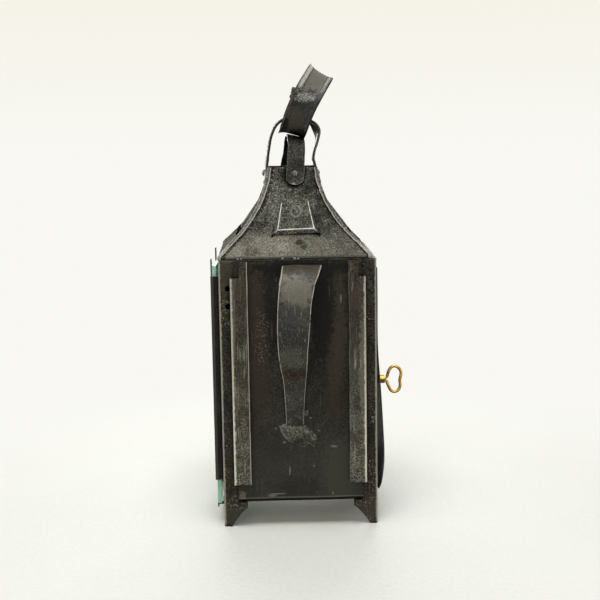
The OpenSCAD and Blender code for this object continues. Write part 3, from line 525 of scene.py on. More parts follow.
def pane(name, tint, broad, ground):
    """Sheet glass lying across the axis called broad, with its ground edges frosted."""
    s = Shade(name, IOR=1.5)
    edge = s.step(s.math("ABSOLUTE", s.axis(broad, s.facing)), 0.8, 0.45)
    s.colour = s.mix(s.step(s.noise(30, 3), 0.3, 0.7), tint, tuple(0.93 * c for c in tint))
    s.lay(ground, edge)
    s.put(s.bsdf.inputs["Transmission Weight"], s.blend(edge, 1.0, 0.12))
    dust = s.blend(s.mottle(0.5, 0.8, 2.2, 4, 0.7), 0.02, 0.22)
    return s.done(s.most(dust, s.times(edge, 0.5)), s.bump(s.noise(26, 2), 0.35))


def wax():
    s = Shade("candle_wax", Subsurface_Weight=0.35, Subsurface_Scale=0.006, Subsurface_Radius=(1.0, 0.6, 0.3))
    cloud = s.noise(9, 4)
    s.colour = s.mix(s.step(cloud, 0.3, 0.7), (72, 64, 46), (84, 78, 62))
    return s.done(s.blend(cloud, 0.38, 0.6), s.bump(s.noise(4, 4), 0.15))


def charred():
    s = Shade("charred_wick")
    twist = s.noise(0.5, 3, at=s.stretched((1, 1, 0.4), (0, 0.5, 0)))
    s.colour = s.mix(s.step(s.z, 0.0985, 0.1015), (55, 50, 40), (2, 1.7, 1.4))
    return s.done(s.blend(twist, 0.75, 0.95), s.bump(twist, 0.3))


FAR_COLOUR = (94.5, 93.8, 89.3)


def stage_floor():
    """Pale floor that takes the object's shadow and fades into the backdrop colour away from it."""
    s = Shade("pale_floor")
    grit = s.noise(3, 5, 0.7)
    s.colour = s.mix(s.step(grit, 0.35, 0.7), (80, 81, 74.5), (86.5, 87.5, 81))
    s.lay((88, 89, 84), s.mottle(0.4, 0.65, 120, 3), 0.3)
    away = s.vector("LENGTH", s.vector("MULTIPLY", s.place, (1, 1, 0)).outputs[0]).outputs["Value"]
    # A warmer, darker patch under the lantern: painted tint for its shadow.
    s.lay((80, 76, 62), s.step(away, 0.075, 0.045), 0.6)
    s.done(s.blend(grit, 0.55, 0.7), s.bump(grit, 0.2))
    glow = s.node("Emission", {"Color": FAR_COLOUR, "Strength": 1.0}).outputs[0]
    fade = s.times(s.step(away, 0.12, 0.42), s.seen())
    shown = s.node("MixShader", {0: fade, 1: s.bsdf.outputs[0], 2: glow}).outputs[0]
    s.put(s.find("OUTPUT_MATERIAL").inputs["Surface"], shown)
    return s.mat


MATERIALS = {
    "post": post_tin("post_tin", (1.9, 1.7, 1.35), (4, 3.6, 2.9), 0.45),
    "door": door_tin("door_tin", True),
    "flank": door_tin("flank_tin", False),
    "inside": post_tin("inside_tin", (1.2, 1.1, 0.9), (2.7, 2.4, 2), 0.0),
    "panel": panel_tin(),
    "rail": rail_tin(),
    "roof": roof_tin("roof_tin", (3.4, 3.45, 3), (7.6, 7.55, 6.6), roof_details),
    "hood": roof_tin("hood_tin", (5.8, 5.8, 5), (10, 10, 8.6), hood_details),
    "seam": seam_tin(),
    "strap": strap_iron("strap_iron", (1.4, 1.4, 1.25), (3.6, 3.55, 3.1), (60, 59, 53),
                        # The pale mark on the upper strap's right leg is painted light on its outer face.
                        ((18, -6, 271), (3.4, 9, 19), (18, 16.5, 13), 0.6), inner=True),
    "ring": ring_iron(),
    "rivet": strap_iron("rivet_iron", (7, 6.9, 6), (20, 19.8, 17.5), (55, 54, 49)),
    "pin": strap_iron("pin_iron", (2.4, 2.3, 2), (6.2, 6, 5.1), (40, 39, 34)),
    "pull": pull_iron(),
    "solder": strap_iron("solder", (1.9, 1.85, 1.45), (10.5, 10.2, 8.3), (52, 51, 45), edge=0.45),
    "brass": brass(),
    "green": pane("green_glass", (42, 84, 64), "X", (36, 66, 50)),
    "clear": pane("clear_glass", (93, 97, 95), "Y", (45, 60, 54)),
    "wax": wax(),
    "wick": charred(),
    "floor": stage_floor(),
}


# ---- mesh helpers ----

def placed(name, data):
    """A new object in the scene."""
    thing = bpy.data.objects.new(name, data)
    bpy.context.scene.collection.objects.link(thing)
    return thing


def solid(name, verts, faces, rim=None):
    """A mesh object with outward normals, from points in millimetres."""
    mesh = bpy.data.meshes.new(name)
    mesh.from_pydata([tuple(c * MM for c in v) for v in verts], [], faces)
    if rim is not None:
        mesh.attributes.new("rim", "FLOAT", "POINT").data.foreach_set("value", rim)
    bm = bmesh.new()
    bm.from_mesh(mesh)
    bmesh.ops.recalc_face_normals(bm, faces=bm.faces)
    bm.to_mesh(mesh)
    bm.free()
    return placed(name, mesh)


def round_edges(piece, width):
    mod = piece.modifiers.new("worn_edges", "BEVEL")
    mod.width, mod.segments, mod.limit_method, mod.angle_limit = width * MM, 2, "ANGLE", math.radians(50)


def give_material(piece, material):
    piece.data.materials.clear()
    piece.data.materials.append(MATERIALS[material])


def add(name, shell, material, nodes=(), body="lantern", bevel=0.0, cutters=(), rim=None,
        two_sided=False):
    """Makes a piece from a shell, which is (points in millimetres, faces). cutters are shells to take away.
    With two_sided, rim is 0 on the outer face of a sheet and 1 on its inner one."""
    if two_sided:
        half = len(shell[0]) // 2
        rim = [0.0] * half + [1.0] * half
    piece = solid(name, *shell, rim)
    cuts = [solid("cut", *cutter) for cutter in cutters]
    for cut in cuts:
        mod = piece.modifiers.new("cut", "BOOLEAN")
        mod.object, mod.operation, mod.solver = cut, "DIFFERENCE", "EXACT"
    if bevel:
        round_edges(piece, bevel)
    if piece.modifiers:
        bpy.context.view_layer.update()
        done = bpy.data.meshes.new_from_object(piece.evaluated_get(bpy.context.evaluated_depsgraph_get()))
        piece.modifiers.clear()
        piece.data = done
        done.name = name
    for cut in cuts:
        bpy.data.objects.remove(cut)
    piece.data.shade_smooth()
    piece.data.set_sharp_from_angle(angle=math.radians(35))
    give_material(piece, material)
    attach(piece, body)
    if nodes:
        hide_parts(*nodes)


def spread(low, high, count):
    """count values evenly from low to high."""
    return [low + (high - low) * i / (count - 1) for i in range(count)]


def circle(sides):
    """The cosine and sine of even steps round a circle."""
    return [(cosd(360 * k / sides), sind(360 * k / sides)) for k in range(sides)]


def grid_of(rows, cols, point):
    return [[point(a, b) for b in cols] for a in rows]


def faces_of(rows, cols, closed_rows=False, closed_cols=False, start=0):
    """Faces between the rows and columns of a grid of points."""
    out = []
    for i in range(rows if closed_rows else rows - 1):
        for j in range(cols if closed_cols else cols - 1):
            i2, j2 = (i + 1) % rows, (j + 1) % cols
            out.append(tuple(start + a * cols + b for a, b in ((i, j), (i2, j), (i2, j2), (i, j2))))
    return out


def capped(rows, sides):
    """Faces round a stack of loops, and one over each end."""
    ends = [tuple(range(sides)), tuple(range((rows - 1) * sides, rows * sides))]
    return faces_of(rows, sides, False, True) + ends


def sheet(grid, t, side=1):
    """Closed shell t thick from a grid of points on its outer face."""
    rows, cols = len(grid), len(grid[0])
    verts = [p for row in grid for p in row]
    for i in range(rows):
        for j in range(cols):
            up = grid[min(i + 1, rows - 1)][j] - grid[max(i - 1, 0)][j]
            across = grid[i][min(j + 1, cols - 1)] - grid[i][max(j - 1, 0)]
            verts.append(grid[i][j] - t * (up.cross(across).normalized() * side))
    n = rows * cols
    faces = faces_of(rows, cols) + faces_of(rows, cols, start=n)
    sides = [(i * cols + j, (i + 1) * cols + j) for i in range(rows - 1) for j in (0, cols - 1)]
    ends = [(i * cols + j, i * cols + j + 1) for j in range(cols - 1) for i in (0, rows - 1)]
    faces += [(a, b, n + b, n + a) for a, b in sides + ends]
    return verts, faces


def tube(path, section, closed=False):
    """Shell swept along path: section(i) gives the points of the i-th section, in order round it."""
    rings = [section(i) for i in range(len(path))]
    rows, sides = len(rings), len(rings[0])
    return [p for r in rings for p in r], faces_of(rows, sides, True, True) if closed else capped(rows, sides)


def smooth_path(points, count):
    """Points spread evenly along a Catmull-Rom curve through the given ones."""
    points = [Vector(p) for p in points]
    dense = []
    for i in range(len(points) - 1):
        a, b = points[max(i - 1, 0)], points[i]
        c, d = points[i + 1], points[min(i + 2, len(points) - 1)]
        for k in range(12):
            u = k / 12
            dense.append(0.5 * ((2 * b) + (c - a) * u + (2 * a - 5 * b + 4 * c - d) * u * u
                                + (3 * b - a - 3 * c + d) * u ** 3))
    dense.append(points[-1])
    lengths = [0]
    for p, q in zip(dense, dense[1:]):
        lengths.append(lengths[-1] + (q - p).length)
    out, k = [], 0
    for goal in spread(0, lengths[-1], count):
        while k < len(dense) - 2 and lengths[k + 1] < goal:
            k += 1
        span = lengths[k + 1] - lengths[k] or 1
        out.append(dense[k].lerp(dense[k + 1], min(1, (goal - lengths[k]) / span)))
    return out


def along(path, i):
    """The way the path runs at its i-th point."""
    return path[min(i + 1, len(path) - 1)] - path[max(i - 1, 0)]


def wave(x, y, z):
    return noise.noise(Vector((x, y, z)))


def dent(p, size, depth, seed=0.0):
    return depth * noise.noise(Vector(p) / size + Vector((seed, seed * 0.6, seed * 1.7)))


def bulge(p, centre, radius, depth):
    return depth * bell((p - Vector(centre)).length / radius)


def join(*shells):
    verts, faces = [], []
    for v, f in shells:
        faces += [tuple(i + len(verts) for i in face) for face in f]
        verts += list(v)
    return verts, faces


def turned(shell, quarter):
    """A shell turned by quarters of a turn about the vertical axis."""
    m = Matrix.Rotation(math.radians(90 * quarter), 3, "Z")
    return [m @ Vector(v) for v in shell[0]], shell[1]


def mirrored(shell, axis):
    return [Vector([-c if i == axis else c for i, c in enumerate(v)]) for v in shell[0]], shell[1]


def moved(shell, shift):
    """A shell moved by shift(point)."""
    return [p + Vector(shift(p)) for p in shell[0]], shell[1]


def peg(centre, axis, r, length, sides=32):
    """Round cutter."""
    axis = Vector(axis).normalized()
    a = axis.orthogonal().normalized()
    b = axis.cross(a)
    ends = [Vector(centre) - axis * length / 2, Vector(centre) + axis * length / 2]
    return [e + r * (c * a + s * b) for e in ends for c, s in circle(sides)], capped(2, sides)


def blob(centre, r, flat, seed):
    """Small drop of solder, flattened against the -y face."""
    verts = []
    for i in range(1, 6):
        a = 30 * i
        for c, s in circle(12):
            v = Vector((sind(a) * c, -flat * cosd(a), sind(a) * s))
            verts.append(Vector(centre) + r * v * (1 + 0.3 * noise.noise(v * 1.5 + Vector((seed, 0, 0)))))
    return verts, capped(5, 12)


# ---- body ----

def bent(s, face, back, r):
    """(x, y, outward x, outward y) at s along the outside of a sheet bent round a corner of radius r at
    (-back, -face). s is 0 at the middle of the bend, and negative on the side face."""
    half = r * math.pi / 4
    if abs(s) <= half:
        a = math.radians(225) + s / r
        return -back + r + r * math.cos(a), -face + r + r * math.sin(a), math.cos(a), math.sin(a)
    if s > 0:
        return -back + r + s - half, -face, 0, -1
    return -back, -face + r - s - half, -1, 0


def post_shell(seed):
    """The post of the -x, -y corner: bent sheet with a rounded corner and arched feet."""
    r, reach = 1.2, LEG_W - 0.26
    half = r * math.pi / 4
    stations = spread(-reach, -half, 13)[:-1] + spread(-half, half, 6) + spread(half, reach, 13)[1:]

    def point(row, s):
        x, y, nx, ny = bent(s, HALF, HALF, r)
        low = FOOT_RISE * (1 - (1 - clamp((abs(s) - FOOT_W) / (LEG_W - FOOT_W))) ** 1.35)
        z = low + (BODY_H - low) * row
        far = abs(s) / reach
        d = far * (dent((x, y, z), 26, 0.3, seed) + dent((x, y, z), 9, 0.1, seed + 5)) - 0.12 * far
        return Vector((x + nx * d, y + ny * d, z))

    return sheet(grid_of(spread(0, 1, 70), stations, point), SHEET, -1)


def posts():
    corners = {"back_left": (), "back_right": (0,), "front_left": (1,), "front_right": (0, 1)}
    for k, (name, mirror_axes) in enumerate(corners.items()):
        right = 0 in mirror_axes
        shell = post_shell(3.1 * k)
        x, z = (-HALF + 5.6, BODY_H - 17) if right else (-HALF + 6.3, BODY_H - 18.9)
        cuts = [peg((x, -HALF, z - HOLE_GAP * i), (0, 1, 0), HOLE_R, 6) for i in (0, 1)]
        if right:
            cuts.append(peg((-HALF + 10, -HALF, BODY_H - 4.6), (0, 1, 0), TOP_HOLE_R, 6))
        for axis in mirror_axes:
            shell, *cuts = [mirrored(s, axis) for s in (shell, *cuts)]
        add(f"post_{name}_sheet", shell, "post", [f"post_{name}"], bevel=0.25, cutters=cuts,
            two_sided=True)


# ---- roof ----

BEND_R = ROOF_BASE - ROOF_FLAT * cosd(ROOF_PITCH)
BEND_Z = HEM_Z + ROOF_FLAT * sind(ROOF_PITCH)
CHORD_PITCH = math.degrees(math.atan2(RIM_Z - BEND_Z, BEND_R - CHIMNEY))
ROOF_ARC = math.hypot(RIM_Z - BEND_Z, BEND_R - CHIMNEY) / (2 * sind(CHORD_PITCH - ROOF_PITCH))
ROOF_LENGTH = ROOF_HEM + ROOF_FLAT + ROOF_ARC * math.radians(2 * (CHORD_PITCH - ROOF_PITCH))


def roof_point(s):
    """(distance from the axis, height, pitch) at s millimetres up the roof from the eave."""
    if s < ROOF_HEM:
        return ROOF_BASE, EAVE_Z + s, 90 - 22.5 * (s / ROOF_HEM) ** 4
    s -= ROOF_HEM
    if s < ROOF_FLAT:
        pitch = ROOF_PITCH + 22.5 * max(0, 1 - s)
        return ROOF_BASE - s * cosd(ROOF_PITCH), HEM_Z + s * sind(ROOF_PITCH), pitch
    a = ROOF_PITCH + math.degrees((s - ROOF_FLAT) / ROOF_ARC)
    return (BEND_R - ROOF_ARC * (sind(a) - sind(ROOF_PITCH)),
            BEND_Z + ROOF_ARC * (cosd(ROOF_PITCH) - cosd(a)), a)


def off_roof(pitch):
    """The way the -y roof panel faces where it has that pitch."""
    return Vector((0, -sind(pitch), cosd(pitch)))


def pitch_at(z):
    """Pitch of the roof's curved part at a height."""
    return math.degrees(math.acos(max(-1, min(1, cosd(ROOF_PITCH) - (z - BEND_Z) / ROOF_ARC))))


def roof_at(z):
    """The roof's distance from the axis at a height."""
    if z < HEM_Z:
        return ROOF_BASE
    if z < BEND_Z:
        return ROOF_BASE - (z - HEM_Z) / math.tan(math.radians(ROOF_PITCH))
    return BEND_R - ROOF_ARC * (sind(pitch_at(z)) - sind(ROOF_PITCH))


def leaned(shell):
    """The real roof sits a little to the left of the body and is slightly lower at its rim."""
    return moved(shell, lambda p: (-ROOF_LEFT, 0, -max(0, (p.z - EAVE_Z) / ROOF_H)))


def roof_shell(seed, marks):
    rows = 64

    def point(i, u):
        r, z, pitch = roof_point(ROOF_LENGTH * i / (rows - 1))
        p = Vector((u * (r - 0.1), -r, z))
        quiet = min(1, 5 * (1 - abs(u))) * min(1, i / 5)
        d = dent(p, 22, 0.7, seed) + dent(p, 7, 0.2, seed + 2) + dent(p, 3, 0.07, seed + 8)
        d += sum(bulge(p, *m) for m in marks)
        return p + off_roof(pitch) * d * quiet

    return sheet(grid_of(range(rows), spread(-1, 1, 57), point), SHEET * 0.8, -1)


def hip_shell(seed):
    """Soldered seam over the hip of the -x, -y corner, and how far each point is from its crown."""
    path = [roof_point(s) for s in spread(0, ROOF_LENGTH, 90)]

    def section(i):
        r, z, pitch = path[i]
        h = Vector((-r, -r, z))
        w = 2.6 + dent(h, 5, 0.6, seed) + dent(h, 1.7, 0.3, seed)
        t = 0.62 + dent(h, 4, 0.3, seed + 4) + dent(h, 1.3, 0.12, seed + 4)
        e1, e2 = Vector((1, 0, 0)), Vector((0, 1, 0))
        n1, n2 = off_roof(pitch), off_roof(pitch).yxz
        one, two = [[h + e * w - n * 0.1, h + e * (w - 0.3) + n * t * 0.85, h + e * w * 0.5 + n * t * 0.8]
                    for e, n in ((e1, n1), (e2, n2))]
        crown, under = h + (n1 + n2) * 0.6 * t, h - (n1 + n2) * 0.35
        return one + [crown] + two[::-1] + [h + e2 * 1.2 - n2 * 0.5, under, h + e1 * 1.2 - n1 * 0.5]

    return tube(path, section), [1, 0.75, 0.35, 0, 0.35, 0.75, 1, 1, 1, 1] * len(path)


def roof():
    marks = ((((2.3, -44.3, 201.5), 4.2, -1.3), ((-7, -45.4, 200.3), 9, 0.6), ((-30, -48, 198), 7, -0.4)),
             (((-8, -40, 205), 7, -0.5),), (((10, -30, 220), 8, -0.5),), (((5, -44, 201), 6, -0.6),))
    for k, side in enumerate(SIDES):
        shell = turned(roof_shell(2.3 * k, marks[k]), k)
        add(f"roof_{side}_sheet", leaned(shell), "roof", [f"roof_{side}"], bevel=0.2)
        shell, rim = hip_shell(1.7 * k)
        add(f"hip_seam_{k}", leaned(turned(shell, k)), "seam", rim=rim)
    drops = ((-13.4, -18.3, 252.6, 1.0), (-12.6, -18.4, 250.9, 0.7), (-14, -21.6, 238, 0.8),
             (-39.7, -48.6, 198.4, 0.9), (-39.7, -53.9, 192.6, 1.0), (-37.6, -53.8, 192.4, 0.7),
             (-8.6, -54.0, 192.3, 1.1), (-0.3, -54.0, 192.4, 1.2), (2.1, -54.1, 192.3, 0.8))
    shell = join(*[blob((x, y, z), r, 0.6, x) for x, y, z, r in drops])
    add("roof_drops", leaned(shell), "seam")


def hood_shell(seed, out, tilt):
    """Vent hood on the -y panel: a pressed face and splayed cheeks over an open mouth, with a folded lip.
    The second list holds 1 on its creases and -1 inside."""
    top_w, lip_w, low_w = 9.2, 12.9, 17.2
    rows, curl_rows, face_cols, cheek_cols = 26, 4, 12, 7
    top_y, lip_y = -(roof_at(HOOD_TOP) + 0.25), -(roof_at(HOOD_LIP) + out)
    grid, rim = [], []
    for i in range(rows + curl_rows):
        v = min(1, i / rows)
        curl = max(0, i - rows) / curl_rows
        z = HOOD_TOP + (HOOD_LIP - HOOD_TOP) * v - 1.05 * out * curl
        y = top_y + (lip_y - top_y) * v + 0.3 * curl * curl
        w = top_w + (lip_w - top_w) * v
        w += (low_w - 0.9 - w) * curl
        base_z = HOOD_TOP + (HOOD_LOW - HOOD_TOP) * v
        line = []
        for j in range(-face_cols - cheek_cols, face_cols + cheek_cols + 1):
            s = 1 if j > 0 else -1
            k = abs(j)
            p = Vector((s * w * min(1, k / face_cols), y, z))
            if k > face_cols:
                q = (k - face_cols) / cheek_cols
                p = p.lerp(Vector((s * (top_w + (low_w - top_w) * v), -(roof_at(base_z) + 0.1), base_z)), q)
                p += Vector((s * 0.5, -0.35, 0)) * math.sin(math.pi * q) * v
            p.y -= dent(p, 6, 0.25, seed) * v * (1 if k < face_cols else 0.3)
            p.z += tilt * p.x * v
            line.append(p)
            rim.append(1.0 if i == rows or (k == face_cols and i > 2) else 0.0)
        grid.append(line)
    return sheet(grid, 0.7), rim + [-1.0] * len(rim)


def oval_shell():
    """Plain pressed oval on the hood's face."""
    top, lip = -(roof_at(HOOD_TOP) + 0.25), -(roof_at(HOOD_LIP) + HOOD_OUT[0])
    up = Vector((0, top - lip, HOOD_TOP - HOOD_LIP)).normalized()
    face = Vector((0, -up.z, up.y))
    centre = Vector((1.5, lip, HOOD_LIP)) + up * 15.2 + face * 0.12

    def section(i):
        a = 2 * math.pi * i / 48
        flat = Vector((math.cos(a), 0, 0)) * 3.3 + up * math.sin(a) * 4.8
        c, go = centre + flat, flat.normalized() * (0.85 + 0.12 * math.sin(3 * a))
        return [c - go, c - go * 0.5 + face * 0.5, c + go * 0.5 + face * 0.5, c + go, c - face * 0.3]

    return tube(range(48), section, True)


def hoods():
    for k, side in enumerate(SIDES):
        shell, rim = hood_shell(1.9 * k, HOOD_OUT[k], 0 if k else 0.03)
        shell = moved(leaned(turned(shell, k)), lambda p: (0 if k else 1.1, 0, 0))
        add(f"hood_{side}_pressed", shell, "hood", [f"hood_{side}"], rim=rim)
    add("hood_oval", leaned(oval_shell()), "rivet")


# ---- straps and ring ----

def strap_feet():
    """The part of a strap that lies on the roof, from its foot up to the rim, as (x, z)."""
    off = STRAP_T / 2 + STRAP_SEAT
    feet = [(roof_at(z) + off, z) for z in spread(RIM_Z - STRAP_FOOT, RIM_Z - 5, 5)]
    return feet + [(CHIMNEY + off + 0.15, RIM_Z + 0.5)]


def arch_shell(flat, tilt, twist, seed):
    """Arched roof strap in the xz plane with rounded feet. tilt(p) rolls it and twist(p) turns it."""
    path = smooth_path([(x, 0, z) for x, z in flat], 150)
    total = sum((b - a).length for a, b in zip(path, path[1:]))
    grid, run = [], 0
    for i, p in enumerate(path):
        go = along(path, i).normalized()
        if i:
            run += (p - path[i - 1]).length
        roll = tilt(p)
        turn = Matrix.Rotation(math.radians(twist(p)), 3, "Z")
        out = Vector((go.z, 0, -go.x))
        side = turn @ (Vector((0, cosd(roll), 0)) + out * sind(roll))
        face = turn @ (out * cosd(roll) - Vector((0, sind(roll), 0)))
        end = min(1, min(run, total - run) / 5.6)
        half = STRAP_W / 2 * (math.sqrt(max(0, 1 - (1 - end) ** 2)) * 0.94 + 0.06)
        half *= 1 + 0.02 * noise.noise(p / 9 + Vector((seed, 0, 0)))
        free = p.z > RIM_Z + 3
        line = []
        for q in spread(-1, 1, 11):
            point = p + side * (q * half + (dent(p, 5, 0.35, seed + q) if abs(q) == 1 else 0))
            lift = (0.35 * (1 - q * q) + dent(point, 9, 0.35, seed)) * (1 if free else 0.15) - 0.3 * free
            line.append(point + face * (STRAP_T / 2 + lift))
        grid.append(line)
    return sheet(grid, STRAP_T, -1)


def lower_shift(p):
    """How the lower strap is bent: its near leg to the right, its far foot to the left and its crown up."""
    far = clamp((p.y + 12) / 28)
    up = clamp((p.z - RIM_Z + 8) / 20)
    return (0.2 + 1.5 * up) * (1 - far) - (0.6 * up + 4.6 * (1 - up)) * far, 0, 2.3 * up ** 3


def rivet_shell(seed):
    """Round rivet head on the -y strap foot."""
    z = RIM_Z - STRAP_FOOT * 0.42
    pitch = pitch_at(z)
    out, up = off_roof(pitch), Vector((0, cosd(pitch), sind(pitch)))
    base = Vector((0, -roof_at(z), z)) + out * (STRAP_T + STRAP_SEAT - 0.15)
    rows, sides, verts = 6, 20, []
    for a in spread(0, 88, rows):
        for k, (c, s) in enumerate(circle(sides)):
            r = RIVET_R * cosd(a) * (1 + 0.06 * math.cos(math.pi * k / 2 + seed))
            p = base + r * (c * Vector((1, 0, 0)) + s * up) + out * (0.35 + 1.25 * sind(a))
            verts.append(p + out * dent(p, 1.6, 0.25, seed))
    n = len(verts)
    verts += [base + RIVET_R * (c * Vector((1, 0, 0)) + s * up) - out * 0.4 for c, s in circle(sides)]
    faces = faces_of(rows, sides, False, True) + [tuple(range(n - sides, n)), tuple(range(n, n + sides))]
    return verts, faces + [(k, (k + 1) % sides, n + (k + 1) % sides, n + k) for k in range(sides)]


def straps():
    feet = strap_feet()
    arch = [(-19.9, 255.4), (-19.3, 262.5), (-18.0, 271.0), (-16.3, 277.6), (-13.9, 282.5), (-10.5, 286.0),
            (-5.5, 288.9), (0, 290.0), (6, 289.6), (11, 287.6), (14.9, 284.4), (17.0, 280.2), (17.7, 275.5),
            (17.1, 270.6), (15.3, 265.4), (14.5, 260.2), (15.2, 255.2)]
    flat = [(-x, z) for x, z in feet[:-1]] + arch + feet[-2::-1]
    flat = [(x - ROOF_LEFT - math.copysign(0.9, x) if z < RIM_Z - 2 else x, z) for x, z in flat]

    def twist(p):
        return 19 * bell((p.z - 281) / 6) if p.x > 4 else 3

    shell = arch_shell(flat[::-1], lambda p: 0, twist, 1)
    add("upper_strap", shell, "strap", ["strap_high"], bevel=0.35, two_sided=True)

    spring, top = RIM_Z + 0.35 * LOW_RISE, RIM_Z + LOW_RISE - STRAP_T / 2
    span = CHIMNEY + STRAP_T / 2 + STRAP_SEAT - 0.6
    crown = [(span * cosd(a), spring + (top - spring) * sind(a)) for a in spread(0, 180, 25)]
    flat = feet + crown + [(-x, z) for x, z in feet[::-1]]
    shell = arch_shell(flat, lambda p: 15 * max(0, (p.z - spring) / (top - spring)), lambda p: 0, 4.0)
    shell = moved(turned(shell, 1), lower_shift)
    add("lower_strap", shell, "strap", ["strap_low"], bevel=0.35, two_sided=True)
    heads = [moved(turned(rivet_shell(2.0 * k), k), lambda p: (shift, 0, 0))
             for k, shift in enumerate((0.2, -3.0, -4.6, -1.6))]
    add("strap_rivet_heads", join(*heads), "rivet", ["strap_rivets"])


def ring():
    """Carrying ring: a hollowed band with flared edges, bent where its ends are lapped and soldered."""
    axis = Vector((cosd(RING_LEAN), 0, -sind(RING_LEAN)))
    up = Vector((sind(RING_LEAN), 0, cosd(RING_LEAN)))
    centre = Vector((0, 0, RING_Z)) + up * (RING_R - RING_DROP)
    half, depth, bead, steps, cols = RING_W / 2, 1.25, 0.7, 144, 15
    outer = [(q * (half - bead), RING_R - 0.75 - depth * (1 - max(0, (abs(q) - 0.5) / 0.5) ** 1.3))
             for q in spread(-1, 1, cols)]
    inner = [(a, r - RING_T * (1 - 0.2 * abs(a / half))) for a, r in outer]
    right = [(half - bead + bead * cosd(t), RING_R - bead - 0.15 + bead * sind(t))
             for t in range(75, -76, -30)]
    loop = outer + right + inner[::-1] + [(-a, r) for a, r in right[::-1]]
    rim = [0.5 * (1 + abs(a) / half) for a, r in loop[:cols - 1]]
    rim += [-1.0] * 7 + [0.0] * (len(loop) - cols - 6)
    bend = ((-1, -5), (-0.75, -6), (-0.4, -4.6), (0.1, 0.0), (0.5, 4.0), (1, 5.8))

    def section(i):
        t = 2 * math.pi * i / steps
        w = math.cos(t)
        sag = bell((t - math.pi - 0.26) / 0.19)
        tip = lookup(w, bend) - 7.5 * sag
        local = axis * cosd(tip) - up * sind(tip)
        spoke = up * w + Vector((0, 1, 0)) * math.sin(t)
        lap = 0.5 * bell((w - 0.15) / 0.13) * (math.sin(t) < 0)
        out = []
        for a, r in loop:
            p = centre - axis * 2.2 * (1 - w * w) + local * a * (1 + 0.02 * w) + spoke * r - up * 1.2 * sag
            rise = lap + dent(p, 12, 0.3, 7) + dent(p, 4, 0.1, 9)
            out.append(p + spoke * rise + axis * dent(p, 15, 0.25, 3))
        return out

    nubs = ((0.1, -27.3, 308.7, 1.7), (-1.7, -27, 303.7, 1.5), (-0.6, -27, 306.3, 1.6),
            (1.1, -27.3, 307.3, 1.5))
    nubs = [blob(nub[:3], nub[3], 1.0, nub[3]) for nub in nubs]
    rim = rim * steps + [0.5] * sum(len(verts) for verts, faces in nubs)
    add("carrying_ring", join(tube(range(steps), section, True), *nubs), "ring", ["carry_ring"],
        "ring", rim=rim)


# ---- slides ----

def rails():
    """A rail is a bent strip, with its tongue as a second strip so that the shoulder stays square."""
    names = (("back_left", 0, False), ("back_right", 0, True), ("left_back", 3, True),
             ("left_front", 3, False), ("front_left", 2, True), ("front_right", 2, False))
    for k, (name, quarter, flip) in enumerate(names):
        seed = 2.7 * k
        shell = join(sheet(rail_body(seed), SHEET, -1),
                     sheet(rail_tongue(seed, TONGUE_W - (0.8 if k else 1.9)), SHEET * 0.96, -1))
        if flip:
            shell = mirrored(shell, 0)
        add(f"rail_{name}_strip", turned(shell, quarter), "flank" if quarter == 3 else "rail",
            [f"rail_{name}"], bevel=0.22)


def rail_body(seed):
    half = RAIL_BEND * math.pi / 4
    web, wide = RAIL_OUT - RAIL_BEND, RAIL_W - RAIL_BEND
    stations = spread(-web - half, -half, 4)[:-1] + spread(-half, half, 5)[:-1]
    stations += spread(half, half + wide, 15)

    def point(row, s):
        x, y, nx, ny = bent(s, HALF + RAIL_OUT, RAIL_BACK, RAIL_BEND)
        flat = max(0, s - half) / wide
        low = RAIL_Z0 + 0.3 * wave(x / 4, seed, 5)
        z = low + (RAIL_Z1 + 0.25 * wave(x / 4, seed, 0) - RAIL_Z0) * row
        d = dent((x, y, z), 18, 0.25, seed) * flat
        return Vector((x + nx * d + dent((seed, 0, z), 14, 0.35, seed) * flat, y + ny * d, z))

    return grid_of(spread(0, 1, 80), stations, point)


def rail_tongue(seed, wide):
    face_y, right = -HALF - RAIL_OUT + 0.05, -RAIL_BACK + RAIL_W

    def point(z, x):
        return Vector((x + dent((seed, 0, z), 14, 0.35, seed), face_y + dent((x, 0, z), 9, 0.15, seed), z))

    return grid_of(spread(RAIL_Z1 - 1.2, BODY_H + 0.3, 12), spread(right - wide, right, 8), point)


def back_panel():
    lo, hi = CAD["back_panel"]

    def point(z, x):
        p = Vector((x, lo[1], z))
        near = min(1, (hi[0] - abs(x)) / 12)
        return p + Vector((0, (dent(p, 30, 0.5, 3) + dent(p, 11, 0.14, 5)) * near, 0))

    grid = grid_of(spread(lo[2], hi[2], 64), spread(lo[0], hi[0], 40), point)
    add("back_slide_sheet", sheet(grid, SHEET * 0.8, -1), "panel", ["back_panel"],
        "back_slide", 0.2, two_sided=True)


def pull_path():
    foot, top = PULL_T / 2, PULL_Z1 - PULL_T / 2
    long, reach = PULL_Z1 - PULL_Z0, PULL_OUT - PULL_T / 2
    bend = reach - 7
    points = [(foot, PULL_Z1 - 15), (foot, PULL_Z1 - 6), (1.6, top - 2.2), (4, top - 1.2)]
    points += [(reach - bend + bend * cosd(a), top - bend + bend * sind(a)) for a in range(90, -1, -15)]
    for i in range(1, 15):
        u = i / 15
        points.append((foot + (reach - foot) * (cosd(180 * u ** PULL_BELLY) + 1) / 2,
                       top - bend - u * (long - bend - 7)))
    points += [(foot, PULL_Z0 + 6), (foot, PULL_Z0)]
    return [(lookup((z - PULL_Z0) / long, PULL_MID), -PANEL_Y - SHEET - d, z) for d, z in points]


